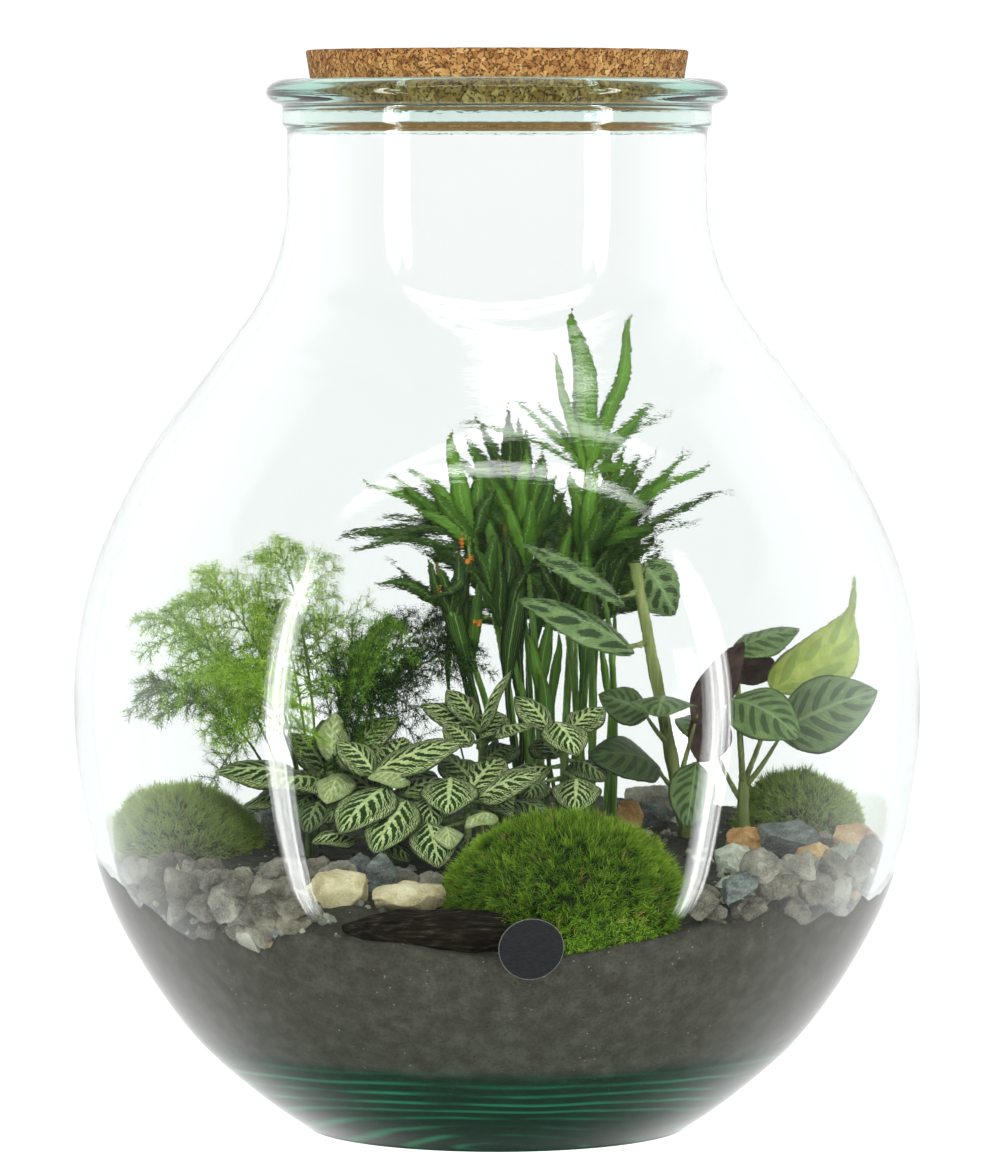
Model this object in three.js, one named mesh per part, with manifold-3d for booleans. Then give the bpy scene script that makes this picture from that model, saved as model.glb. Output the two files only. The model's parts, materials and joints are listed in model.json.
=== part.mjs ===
// A planted glass terrarium: a round-bellied jar of green recycled glass with a cork in its neck, and in it a bed of
// soil with gravel, three moss cushions, a parlour palm, an asparagus fern, a nerve plant and a prayer plant.
// Millimetres, +Z up. The origin is the centre of the jar's foot, and the planting faces -Y.
import * as THREE from "three";
import { ConvexGeometry } from "three/addons/geometries/ConvexGeometry.js";
import { mergeVertices } from "three/addons/utils/BufferGeometryUtils.js";
import Module from "manifold-3d";

const wasm = await Module();
wasm.setup();
const { Manifold } = wasm;

// Driving dimensions of the jar
const SIDES = 32; // flats round the jar, the cork and the soil
const GAP = 0.4; // left between pieces that rest on each other
const FOOT_OUTER_R = 67.5;
const FOOT_INNER_R = 60;
const PUNT_HEIGHT = 12; // the hollow under the base
const OUTER_BODY = [
  [68, 0.6],
  [86, 13.4],
  [109, 34.6],
  [130.4, 66.4],
  [143, 98.2],
  [150, 148],
  [144.2, 193.6],
  [125.5, 236],
  [102.3, 268],
  [83.5, 294],
  [75.5, 316],
  [74.2, 335],
  [74.2, 352],
];
const INNER_BODY = [
  [69.3, 335],
  [70.6, 315.4],
  [79.1, 291.5],
  [98.2, 264.4],
  [120.9, 232.9],
  [138.6, 191.6],
  [144, 149],
  [137, 99],
  [124.9, 69.8],
  [102.3, 40.8],
  [78, 27.5],
  [45, 25],
];
const FLOOR_Z = 26;
const COLLAR_R = 75.8;
const COLLAR_LOW = 354.5;
const RIM = { r: 73.6, z: 366.4, halfWidth: 8, halfHeight: 4.8 };
const RIM_FROM = -74; // degrees round the rim bead's section, from the collar
const RIM_TO = 215; // to the inner wall
const NECK_INNER_TOP = 358;

// Cork
const CORK_TOP_R = 67.5;
const CORK_BOTTOM_R = 64.6;
const CORK_TOP_Z = 381.2;
const CORK_THICK = 18.8;
const CORK_CHAMFER = 0.9;

// Round paper label on the front of the glass
const LABEL_R = 11;
const LABEL_THICK = 0.6;
const LABEL_Z = 79;
const LABEL_TURN = 4.8; // degrees to the right of the front, where a flat of the jar has its middle

// Soil: its depth in the holes that stems stand in, and the mound that its top makes
const ROOT_DEPTH = 12;
const soilTop = (x, y) => {
  const mound = 6 * Math.exp(-(((x - 25) / 60) ** 2) - ((y - 30) / 50) ** 2);
  const dip = 22 * Math.exp(-(((x - 10) / 70) ** 2) - ((y + 150) / 50) ** 2);
  return 99 + (5 * y) / 140 + mound - dip;
};

// Moss cushions: centre in plan, half sizes in plan, top, and the level of the widest section
const MOSS = [
  { name: "moss_left", at: [-113, 4], half: [27, 34], top: 118, waist: 94 },
  { name: "moss_right", at: [113, 36], half: [25, 28], top: 122, waist: 97 },
  { name: "moss_front", at: [24, -94], half: [41, 35], top: 118, waist: 83 },
];
const MOSS_SIDES = 16;
const MOSS_LEVELS = [-18, 14, 38, 62]; // degrees up the dome
const TUFT = 5.5;

// Stones: centre, whole size, turn about Z in degrees, colour
const GREY = 0x8b8d88;
const SLATE = 0x5d6468;
const BEIGE = 0xc6ae84;
const TAN = 0xb98655;
const PALE = 0xb9b9ae;
const STONES = [
  { at: [-54, -95, 94], size: [24, 21, 19], turn: 10, colour: BEIGE },
  { at: [-29, -101, 93], size: [29, 17, 12], turn: -4, colour: BEIGE },
  { at: [-80, -84, 86], size: [31, 24, 27], turn: 38, colour: GREY },
  { at: [-99, -60, 91], size: [25, 22, 20], turn: 60, colour: GREY },
  { at: [-119, -33, 90], size: [22, 26, 20], turn: 12, colour: SLATE },
  { at: [-74, -56, 95], size: [25, 21, 16], turn: -20, colour: GREY },
  { at: [-110, -48, 97], size: [10, 9, 10], turn: 0, colour: BEIGE },
  { at: [-36, -72, 95], size: [21, 14, 13], turn: 15, colour: SLATE },
  { at: [-66, -108, 80], size: [24, 15, 18], turn: 28, colour: SLATE },
  { at: [86, -30, 104], size: [15, 13, 14], turn: 20, colour: TAN },
  { at: [101, -28, 106], size: [26, 19, 14], turn: 8, colour: SLATE },
  { at: [109, -48, 101], size: [16, 13, 12], turn: -30, colour: TAN },
  { at: [127, -8, 102], size: [20, 22, 15], turn: 0, colour: TAN },
  { at: [82, -58, 100], size: [16, 14, 17], turn: 45, colour: PALE },
  { at: [95, -68, 93], size: [27, 21, 23], turn: -35, colour: GREY },
  { at: [113, -60, 91], size: [22, 16, 18], turn: -52, colour: GREY },
  { at: [124, -34, 95], size: [22, 22, 22], turn: -20, colour: PALE },
  { at: [78, -78, 90], size: [14, 13, 19], turn: 10, colour: PALE },
  { at: [47, 12, 109], size: [12, 11, 13], turn: 30, colour: TAN },
  { at: [56, 26, 108], size: [15, 13, 12], turn: -15, colour: SLATE },
  { at: [-42, 86, 103], size: [24, 19, 15], turn: 12, colour: GREY },
  { at: [6, 104, 103], size: [19, 15, 13], turn: -25, colour: BEIGE },
  { at: [58, 98, 104], size: [26, 21, 17], turn: 35, colour: GREY },
  { at: [-84, 72, 101], size: [17, 15, 13], turn: 50, colour: SLATE },
];
const BARK = { at: [-19, -121, 83], size: [72, 15, 19], turn: -5, colour: 0x4b4238 };
const STONE_POINTS = 14;
const STONE_ROUGH = 0.13;

// Parlour palm: each frond has its foot in the soil, a bend, its end and the side that its leaflets spread to
const PALM_FRONDS = [
  { foot: [22, 34], bend: [25, 31, 190], end: [36, 33, 247], across: [1, 0.25], leaf: 46 },
  { foot: [14, 41], bend: [11, 38, 190], end: [-2, 33, 226], across: [1, 0.5], leaf: 42 },
  { foot: [6, 31], bend: [2, 27, 185], end: [-22, 19, 204], across: [-0.3, 1], leaf: 38 },
  { foot: [7, 48], bend: [4, 52, 168], end: [-21, 50, 187], across: [0, 1], leaf: 37 },
  { foot: [34, 36], bend: [39, 34, 190], end: [58, 32, 216], across: [0.3, 1], leaf: 38 },
  { foot: [42, 48], bend: [47, 52, 172], end: [66, 60, 192], across: [-0.3, 1], leaf: 36 },
  { foot: [28, 58], bend: [30, 74, 178], end: [28, 90, 198], across: [1, 0], leaf: 38 },
  { foot: [15, 55], bend: [8, 68, 182], end: [-12, 84, 203], across: [0.8, 0.5], leaf: 37 },
  { foot: [40, 60], bend: [50, 68, 182], end: [57, 77, 208], across: [0.8, -0.5], leaf: 36 },
  { foot: [15, 24], bend: [9, 18, 172], end: [-7, 8, 192], across: [0.7, -0.7], leaf: 34 },
  { foot: [28, 27], bend: [30, 27, 190], end: [20, 23, 222], across: [0.7, 0.7], leaf: 40 },
];
const PALM_PAIRS = 4;
const PALM_BARE = 0.62; // the part of a frond's length below its first leaflets
const PALM_LEAF_WIDTH = 9;

// Asparagus fern: the same, with needled branchlets
const FERN_FRONDS = [
  { foot: [-72, 6], bend: [-88, 2, 168], end: [-122, -4, 182], across: [0, 1] },
  { foot: [-68, 12], bend: [-80, 12, 178], end: [-107, 8, 200], across: [0.2, 1] },
  { foot: [-64, 18], bend: [-66, 18, 178], end: [-72, 22, 203], across: [1, 0.4] },
  { foot: [-60, 10], bend: [-58, 8, 170], end: [-33, 4, 187], across: [0, 1] },
  { foot: [-58, 18], bend: [-52, 26, 164], end: [-25, 33, 171], across: [-0.2, 1] },
  { foot: [-74, 14], bend: [-90, 20, 150], end: [-122, 20, 154], across: [0, 1] },
  { foot: [-66, 26], bend: [-72, 44, 160], end: [-80, 68, 178], across: [1, 0.2] },
  { foot: [-66, 2], bend: [-76, -14, 155], end: [-90, -36, 166], across: [0.9, -0.5] },
];
const FERN_PAIRS = 3;
const FERN_BARE = 0.45;
const FERN_BRANCH = 33; // length of the lowest branchlet
const NEEDLE_STEP = 6.4;
const NEEDLE = 5;

// Nerve plant: leafy stems, each with its foot, its top, and its leaves from base to tip
const NERVE_STEMS = [
  {
    foot: [-66, -22],
    top: [-62, -20, 127],
    leaves: [
      { base: [-68, -22, 126], tip: [-99, -24, 128], width: 19 },
      { base: [-61, -25, 125], tip: [-78, -42, 124], width: 19 },
      { base: [-61, -18, 129], tip: [-64, -16, 151], width: 14 },
      { base: [-58, -19, 127], tip: [-38, -8, 146], width: 17 },
      { base: [-58, -26, 121], tip: [-62, -46, 111], width: 17 },
      { base: [-67, -20, 121], tip: [-90, -12, 115], width: 16 },
    ],
  },
  {
    foot: [-36, -40],
    top: [-38, -38, 127],
    leaves: [
      { base: [-41, -38, 128], tip: [-9, -33, 141], width: 18 },
      { base: [-40, -44, 125], tip: [-54, -64, 111], width: 20 },
      { base: [-34, -45, 122], tip: [-37, -72, 106], width: 19 },
      { base: [-43, -37, 128], tip: [-58, -36, 141], width: 17 },
      { base: [-38, -33, 126], tip: [-34, -14, 138], width: 17 },
      { base: [-34, -38, 119], tip: [-16, -28, 124], width: 16 },
    ],
  },
  {
    foot: [-10, -44],
    top: [-11, -44, 121],
    leaves: [
      { base: [-14, -46, 122], tip: [-21, -66, 112], width: 18 },
      { base: [-7, -47, 121], tip: [15, -52, 131], width: 18 },
      { base: [-10, -40, 122], tip: [2, -20, 132], width: 17 },
      { base: [-8, -50, 116], tip: [-12, -69, 101], width: 15 },
      { base: [-16, -43, 120], tip: [-33, -47, 112], width: 15 },
      { base: [-6, -43, 119], tip: [12, -36, 116], width: 15 },
    ],
  },
  {
    foot: [-6, -8],
    top: [-5, -9, 141],
    leaves: [
      { base: [-4, -9, 142], tip: [7, -12, 166], width: 15 },
      { base: [-8, -8, 141], tip: [-27, -4, 150], width: 16 },
      { base: [-2, -11, 139], tip: [12, -26, 143], width: 16 },
      { base: [-7, -12, 137], tip: [-15, -28, 148], width: 15 },
      { base: [-5, -6, 138], tip: [0, 12, 146], width: 15 },
    ],
  },
  {
    foot: [24, -14],
    top: [22, -16, 138],
    leaves: [
      { base: [20, -18, 138], tip: [27, -34, 130], width: 18 },
      { base: [25, -20, 131], tip: [24, -40, 118], width: 17 },
      { base: [25, -14, 138], tip: [38, -4, 144], width: 15 },
      { base: [18, -14, 137], tip: [6, 4, 142], width: 14 },
      { base: [19, -15, 128], tip: [3, -16, 124], width: 15 },
    ],
  },
];

// Prayer plant: two crowns of stalked leaves, each leaf with the height at which its stalk leaves the crown's stem
const PRAYER_CROWNS = [
  {
    name: "prayer_plant_tall",
    stem: [
      [67, 8],
      [62, 9, 129],
      [49, 11, 199],
    ],
    radius: 2.5,
    leaves: [
      { from: 190, base: [46, 7, 184], tip: [8, -4, 206], width: 15, up: [0.3, -0.5, 1], arch: 4 },
      { from: 172, base: [49, 3, 168], tip: [7, -14, 188], width: 17, up: [0.2, -0.9, 1], arch: 4 },
      { from: 196, base: [52, 15, 199], tip: [64, 25, 180], width: 19, up: [0.2, -1, 0.3], arch: 2 },
      { from: 138, base: [60, -2, 151], tip: [56, -36, 148], width: 24, up: [0, -0.35, 1], arch: 4 },
      { from: 134, base: [54, 3, 145], tip: [36, 3, 153], width: 15, up: [0.2, -1, 0.6], arch: 2 },
      { from: 118, base: [58, -3, 127], tip: [32, -16, 132], width: 23, up: [-0.1, -0.8, 1], arch: 4 },
      { from: 112, base: [70, -20, 131], tip: [66, -34, 110], width: 16, up: [0, -1, 0.2], arch: 2 },
      { from: 120, base: [70, 4, 142], tip: [88, 6, 172], width: 20, up: [-0.5, 0.8, 0.6], arch: 3 },
    ],
  },
  {
    name: "prayer_plant_right",
    stem: [
      [88, 2],
      [87, 2, 112],
      [88, 3, 124],
    ],
    radius: 2.4,
    leaves: [
      { from: 121, base: [82, -8, 152], tip: [106, -22, 139], width: 23, up: [0.2, -0.9, 0.6], arch: 5 },
      { from: 119, base: [84, 20, 166], tip: [109, 25, 175], width: 19, up: [0.1, -0.4, 1], arch: 3 },
      { from: 122, base: [97, 13, 153], tip: [129, 18, 195], width: 27, up: [-0.4, -1, 0.4], arch: -5 },
      { from: 120, base: [101, -1, 139], tip: [135, -6, 155], width: 29, up: [-0.1, -1, 0.7], arch: 3 },
      { from: 115, base: [78, 28, 132], tip: [70, 58, 140], width: 20, up: [0, 0.3, 1], arch: 4 },
    ],
  },
];

const COLOURS = {
  glass: 0xc4dcd2,
  cork: 0xb98a5a,
  label: 0x26282a,
  soil: 0x4e4a44,
  moss: 0x5d7f2a,
  palm: 0x3f7a2c,
  fern: 0x5f9a3a,
  nerve: 0x8fae72,
  prayer: 0x6d9468,
};

const UP = new THREE.Vector3(0, 0, 1);
const point = (p) => new THREE.Vector3(...p);
const mix = (a, b, t) => a + (b - a) * t;
const radians = (degrees) => (degrees * Math.PI) / 180;

// A repeatable number from 0 to 1 for the i-th thing and the k-th of its traits
function vary(i, k) {
  const s = Math.sin(i * 12.9898 + k * 78.233) * 43758.5453;
  return s - Math.floor(s);
}

// Solids and their geometry

function solidOf(geometry) {
  const bare = geometry.clone();
  bare.deleteAttribute("normal");
  bare.deleteAttribute("uv");
  const merged = mergeVertices(bare);
  const corners = merged.index.array;
  const triVerts = [];
  for (let i = 0; i < corners.length; i += 3) {
    const [a, b, c] = corners.slice(i, i + 3);
    if (a !== b && b !== c && c !== a) triVerts.push(a, b, c);
  }
  const vertProperties = merged.attributes.position.array;
  return new Manifold(new wasm.Mesh({ numProp: 3, vertProperties, triVerts: new Uint32Array(triVerts) }));
}

function geometryOf(solid) {
  const { vertProperties, triVerts } = solid.getMesh();
  const geometry = new THREE.BufferGeometry();
  geometry.setAttribute("position", new THREE.BufferAttribute(vertProperties, 3));
  geometry.setIndex(new THREE.BufferAttribute(triVerts, 1));
  geometry.computeVertexNormals();
  return geometry;
}

// The biggest body of a solid, without the loose scraps that a cut leaves
function mainBody(solid) {
  const bodies = solid.decompose();
  return bodies.reduce((most, body) => (body.volume() > most.volume() ? body : most));
}

// Pieces joined in one solid: a leaf that misses its stem is a mistake in the sizes
const SCRAP = 0.5; // cubic millimetres
function joined(pieces) {
  const whole = Manifold.union(pieces);
  const main = mainBody(whole);
  if (whole.volume() - main.volume() > SCRAP) throw new Error("a piece of a plant hangs loose");
  return main;
}

// Pieces that cross each other become one
function fuseCrossing(pieces) {
  const apart = [];
  for (const piece of pieces) {
    let whole = piece;
    for (let i = apart.length - 1; i >= 0; i--) {
      if (whole.intersect(apart[i]).volume() > 0) {
        whole = whole.add(apart[i]);
        apart.splice(i, 1);
      }
    }
    apart.push(whole);
  }
  return apart;
}

// Shells: closed skins of points and three-cornered faces

// A skin through rings of points, each ring of equal count or a single point at an end. The split of each four-cornered
// patch turns over from one to the next, so that a blade's two faces are split alike.
function skin(rings) {
  const shell = { points: rings.flat(), faces: [] };
  let start = 0;
  for (let s = 0; s + 1 < rings.length; s++) {
    const [low, high] = [rings[s], rings[s + 1]];
    const next = start + low.length;
    const count = Math.max(low.length, high.length);
    for (let k = 0; k < count; k++) {
      const [a, b] = [start + k, start + ((k + 1) % count)];
      const [c, d] = [next + k, next + ((k + 1) % count)];
      if (low.length === 1) shell.faces.push([start, d, c]);
      else if (high.length === 1) shell.faces.push([a, b, next]);
      else if (k % 2 === 0) shell.faces.push([a, b, d], [a, d, c]);
      else shell.faces.push([a, b, c], [b, d, c]);
    }
    start = next;
  }
  const last = rings[rings.length - 1];
  for (let k = 1; k + 1 < rings[0].length; k++) shell.faces.push([0, k + 1, k]);
  for (let k = 1; k + 1 < last.length; k++) shell.faces.push([start, start + k, start + k + 1]);
  return turnedOut(shell);
}

// The shell with its faces looking outwards
function turnedOut(shell) {
  const { points, faces } = shell;
  const volume = faces.reduce((sum, [a, b, c]) => sum + points[a].dot(points[b].clone().cross(points[c])), 0);
  return volume < 0 ? { points, faces: faces.map(([a, b, c]) => [a, c, b]) } : shell;
}

// Each face for which tipOf gives a point is raised to it as a spike
function raised(shell, tipOf) {
  const points = [...shell.points];
  const faces = [];
  shell.faces.forEach((face, i) => {
    const [a, b, c] = face.map((k) => shell.points[k]);
    const middle = a.clone().add(b).add(c).divideScalar(3);
    const outward = b.clone().sub(a).cross(c.clone().sub(a)).normalize();
    const tip = tipOf(middle, outward, i);
    if (!tip) {
      faces.push(face);
      return;
    }
    const k = points.push(tip) - 1;
    faces.push([face[0], face[1], k], [face[1], face[2], k], [face[2], face[0], k]);
  });
  return { points, faces };
}

function solidOfShell({ points, faces }) {
  const geometry = new THREE.BufferGeometry().setFromPoints(points);
  geometry.setIndex(faces.flat());
  return solidOf(geometry);
}

// A stalk through the points of a path, with a radius at each
function stalk(path, radii, sides) {
  const whole = path[path.length - 1].clone().sub(path[0]).normalize();
  const reference = Math.abs(whole.x) < 0.8 ? new THREE.Vector3(1, 0, 0) : new THREE.Vector3(0, 1, 0);
  return skin(
    path.map((p, i) => {
      const along = path[Math.min(i + 1, path.length - 1)].clone().sub(path[Math.max(i - 1, 0)]).normalize();
      const v = along.clone().cross(reference).normalize();
      const u = v.clone().cross(along);
      return Array.from({ length: sides }, (_, k) => {
        const angle = (2 * Math.PI * (k + 0.5)) / sides;
        return p
          .clone()
          .addScaledVector(u, radii[i] * Math.cos(angle))
          .addScaledVector(v, radii[i] * Math.sin(angle));
      });
    }),
  );
}

// The directions of a leaf from base to tip whose upper face looks along up, and the point t along its rib, which is
// raised in the middle by arch
function leafFrame({ base, tip, up, arch }) {
  const along = tip.clone().sub(base);
  const side = along.clone().cross(up).normalize();
  const face = side.clone().cross(along).normalize();
  const ribAt = (t) => base.clone().addScaledVector(along, t).addScaledVector(face, 4 * arch * t * (1 - t));
  return { side, face, ribAt };
}

// A leaf's half width at t, as a part of its greatest
const swellAt = (t) => Math.sin(Math.PI * t ** 0.85) ** 0.8;

// A broad blade, thickest at its rib, with its edges cup below the rib
function blade(leaf) {
  const { side, face, ribAt } = leafFrame(leaf);
  const rings = leaf.stations.map((t) => {
    const rib = ribAt(t);
    const edge = rib.clone().addScaledVector(face, -leaf.cup * swellAt(t));
    const half = (leaf.width / 2) * swellAt(t);
    return [
      edge.clone().addScaledVector(side, -half),
      rib.clone().addScaledVector(face, leaf.thick / 2),
      edge.clone().addScaledVector(side, half),
      rib.clone().addScaledVector(face, -leaf.thick / 2),
    ];
  });
  return solidOfShell(skin([[leaf.base], ...rings, [leaf.tip]]));
}

// A narrow leaflet with three corners to its section
function leaflet(leaf) {
  const { side, face, ribAt } = leafFrame(leaf);
  const rings = leaf.stations.map((t) => {
    const half = (leaf.width / 2) * swellAt(t);
    const low = ribAt(t).addScaledVector(face, -leaf.thick / 2);
    return [
      low.clone().addScaledVector(side, -half),
      ribAt(t).addScaledVector(face, leaf.thick / 2),
      low.clone().addScaledVector(side, half),
    ];
  });
  return solidOfShell(skin([[leaf.base], ...rings, [leaf.tip]]));
}

// The path of a stem: straight up out of its hole, then along a bend to its end
function stemPath({ foot, bend, end }, steps) {
  const [x, y] = foot;
  const ground = soilTop(x, y);
  const start = new THREE.Vector3(x, y, ground + 4);
  const curve = new THREE.QuadraticBezierCurve3(start, point(bend), point(end));
  return { curve, path: [new THREE.Vector3(x, y, ground - ROOT_DEPTH), ...curve.getPoints(steps)] };
}

// The point t along a stem's straight stretches above the ground
function pointAlong(path, t) {
  const steps = path.length - 2;
  const k = Math.min(Math.floor(t * steps), steps - 1);
  return path[k + 1].clone().lerp(path[k + 2], t * steps - k);
}

const STEM_SIDES = 3;
function stemHole([x, y], radius) {
  const ground = soilTop(x, y);
  const path = [new THREE.Vector3(x, y, ground - ROOT_DEPTH - GAP), new THREE.Vector3(x, y, ground + ROOT_DEPTH)];
  const wide = radius + 2 * GAP; // GAP from the flats of a three-sided stem
  return solidOfShell(stalk(path, [wide, wide], STEM_SIDES));
}

// The jar, the cork and the label

const FIRST_CORNER = radians(LABEL_TURN) - Math.PI / SIDES; // from the front

function profile(knots, steps) {
  return new THREE.SplineCurve(knots.map(([r, z]) => new THREE.Vector2(r, z))).getPoints(steps);
}

function turned(outline) {
  return new THREE.LatheGeometry(outline, SIDES, FIRST_CORNER).rotateX(Math.PI / 2);
}

const outerWall = profile(OUTER_BODY, 16);
const innerWall = profile(INNER_BODY, 12);

function jarGeometry() {
  const punt = new THREE.QuadraticBezierCurve(
    new THREE.Vector2(0, PUNT_HEIGHT),
    new THREE.Vector2(FOOT_INNER_R * 0.6, PUNT_HEIGHT),
    new THREE.Vector2(FOOT_INNER_R, 0),
  ).getPoints(2);
  const bead = new THREE.EllipseCurve(
    RIM.r,
    RIM.z,
    RIM.halfWidth,
    RIM.halfHeight,
    radians(RIM_FROM),
    radians(RIM_TO),
  ).getPoints(7);
  return turned([
    ...punt,
    new THREE.Vector2(FOOT_OUTER_R, 0),
    ...outerWall,
    new THREE.Vector2(COLLAR_R, COLLAR_LOW),
    ...bead,
    new THREE.Vector2(innerWall[0].x, NECK_INNER_TOP),
    ...innerWall,
    new THREE.Vector2(0, FLOOR_Z),
  ]);
}

// The space inside the jar, up to the neck, held clear of the glass
function roomInJar() {
  const wall = innerWall.map(({ x, y }) => new THREE.Vector2(x - GAP, y + GAP)).reverse();
  return solidOf(
    turned([new THREE.Vector2(0, FLOOR_Z + GAP), ...wall, new THREE.Vector2(0, innerWall[0].y + GAP)]),
  );
}

function corkGeometry() {
  const bottom = CORK_TOP_Z - CORK_THICK;
  return turned([
    new THREE.Vector2(0, bottom),
    new THREE.Vector2(CORK_BOTTOM_R - CORK_CHAMFER, bottom),
    new THREE.Vector2(CORK_BOTTOM_R, bottom + CORK_CHAMFER),
    new THREE.Vector2(CORK_TOP_R, CORK_TOP_Z - CORK_CHAMFER),
    new THREE.Vector2(CORK_TOP_R - CORK_CHAMFER, CORK_TOP_Z),
    new THREE.Vector2(0, CORK_TOP_Z),
  ]);
}

function labelMesh() {
  const k = outerWall.findIndex(({ y }) => y > LABEL_Z);
  const [low, high] = [outerWall[k - 1], outerWall[k]];
  const flat = Math.cos(Math.PI / SIDES); // from a corner's radius to the middle of a flat
  const middle = mix(low.x, high.x, (LABEL_Z - low.y) / (high.y - low.y)) * flat;
  const lean = Math.atan2((high.x - low.x) * flat, high.y - low.y);
  const mesh = new THREE.Mesh(new THREE.CylinderGeometry(LABEL_R, LABEL_R, LABEL_THICK, 24));
  const out = new THREE.Vector3(
    Math.cos(lean) * Math.sin(radians(LABEL_TURN)),
    -Math.cos(lean) * Math.cos(radians(LABEL_TURN)),
    -Math.sin(lean),
  );
  const turn = radians(LABEL_TURN);
  mesh.position.set(middle * Math.sin(turn), -middle * Math.cos(turn), LABEL_Z);
  mesh.position.addScaledVector(out, GAP + LABEL_THICK / 2);
  mesh.quaternion.setFromUnitVectors(new THREE.Vector3(0, 1, 0), out);
  return mesh;
}

// The ground: stones, moss and soil

// An angular stone; grown makes its pocket in the soil
function stoneSolid({ at, size, turn }, seed, grown = 0) {
  const corners = Array.from({ length: STONE_POINTS }, (_, k) => {
    const z = 1 - (2 * (k + 0.5)) / STONE_POINTS;
    const angle = k * Math.PI * (3 - Math.sqrt(5)) + seed;
    const [x, y] = [Math.cos(angle) * Math.sqrt(1 - z * z), Math.sin(angle) * Math.sqrt(1 - z * z)];
    const boxy = Math.cbrt(Math.abs(x) ** 3 + Math.abs(y) ** 3 + Math.abs(z) ** 3);
    const reach = (1 - STONE_ROUGH * vary(seed, k)) / boxy;
    const half = size.map((s) => s / 2 + grown);
    return new THREE.Vector3(x * reach * half[0], y * reach * half[1], z * reach * half[2]);
  });
  const hull = new ConvexGeometry(corners).rotateZ(radians(turn)).translate(...at);
  return solidOf(hull);
}

function mossShell({ at, half, top, waist }, grown = 0) {
  const rings = MOSS_LEVELS.map((level, i) =>
    Array.from({ length: MOSS_SIDES }, (_, k) => {
      const angle = (2 * Math.PI * (k + i / 2)) / MOSS_SIDES;
      const out = Math.cos(radians(level)) * (1 + 0.05 * Math.sin(3 * angle + at[0]));
      const sunk = i === 0 ? grown : 0;
      return new THREE.Vector3(
        at[0] + (half[0] + grown) * out * Math.cos(angle),
        at[1] + (half[1] + grown) * out * Math.sin(angle),
        waist - sunk + (top - waist + grown) * Math.sin(radians(level)),
      );
    }),
  );
  return skin([...rings, [new THREE.Vector3(at[0], at[1], top + grown)]]);
}

// A cushion with its tufts; grown makes the room that it takes up, with every tuft that it may have
function mossSolid(cushion, grown = 0) {
  const lowest = grown > 0 ? 4 : 7;
  const tufted = raised(mossShell(cushion, grown), (middle, outward, i) => {
    if (outward.z < 0 || middle.z < soilTop(middle.x, middle.y) + lowest) return null;
    const lean = new THREE.Vector3(vary(i, 1) - 0.5, vary(i, 2) - 0.5, 0.6);
    const reach = TUFT * mix(0.7, 1, vary(i, 3)) + 2 * grown;
    return middle.addScaledVector(outward, reach).addScaledVector(lean, 2);
  });
  return solidOfShell(tufted);
}

// A wide body whose top is the soil's, to be cut to the inside of the jar
function moundSolid() {
  const radii = [160, 126, 92, 58, 30];
  const ring = (r, level) =>
    Array.from({ length: SIDES }, (_, k) => {
      const angle = FIRST_CORNER + (2 * Math.PI * k) / SIDES;
      const [x, y] = [r * Math.sin(angle), -r * Math.cos(angle)];
      return new THREE.Vector3(x, y, level ?? soilTop(x, y));
    });
  const top = new THREE.Vector3(0, 0, soilTop(0, 0));
  return solidOfShell(skin([ring(radii[0], 0), ...radii.map((r) => ring(r)), [top]]));
}

// The plants

// A frond's stalk with its rank of side pieces, made by sidePiece(at, along, side, place, hand, n)
function frondSolid(frond, seed, shape, sidePiece) {
  const { curve, path } = stemPath(frond, shape.steps);
  const radii = path.map((_, i) => mix(shape.foot, shape.tip, i / (path.length - 1)));
  const pieces = [solidOfShell(stalk(path, radii, STEM_SIDES))];
  const across = new THREE.Vector3(...frond.across, 0).normalize();
  for (let k = 0; k < shape.pairs; k++) {
    for (const hand of [-1, 1]) {
      const place = (k + (hand > 0 ? 0.5 : 0)) / (shape.pairs - 0.5);
      const t = mix(shape.bare, 0.985, place);
      const along = curve.getTangent(t);
      const at = pointAlong(path, t);
      pieces.push(sidePiece(at, along, across, place, hand, seed * 20 + k * 2 + (hand + 1) / 2));
    }
  }
  return joined(pieces);
}

const PALM_STEM = { steps: 4, foot: 1.3, tip: 0.7, pairs: PALM_PAIRS, bare: PALM_BARE };
function palmLeaflet(frond) {
  return (at, along, across, place, hand, n) => {
    const open = radians(mix(66, 14, place ** 1.4) + 8 * (vary(n, 1) - 0.5));
    const length = frond.leaf * mix(0.72, 1, Math.sin(Math.PI * mix(0.2, 0.75, place))) * mix(0.9, 1.06, vary(n, 2));
    const way = along.clone().multiplyScalar(Math.cos(open)).addScaledVector(across, hand * Math.sin(open));
    const tip = at.clone().addScaledVector(way, length);
    tip.z -= length * mix(0.3, 0.02, place);
    const face = along.clone().cross(across);
    if (face.z < 0) face.negate();
    const width = PALM_LEAF_WIDTH * mix(0.85, 1.15, vary(n, 3));
    return leaflet({ base: at, tip, width, up: face, arch: length * 0.07, thick: 1, stations: [0.25, 0.65] });
  };
}

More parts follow.
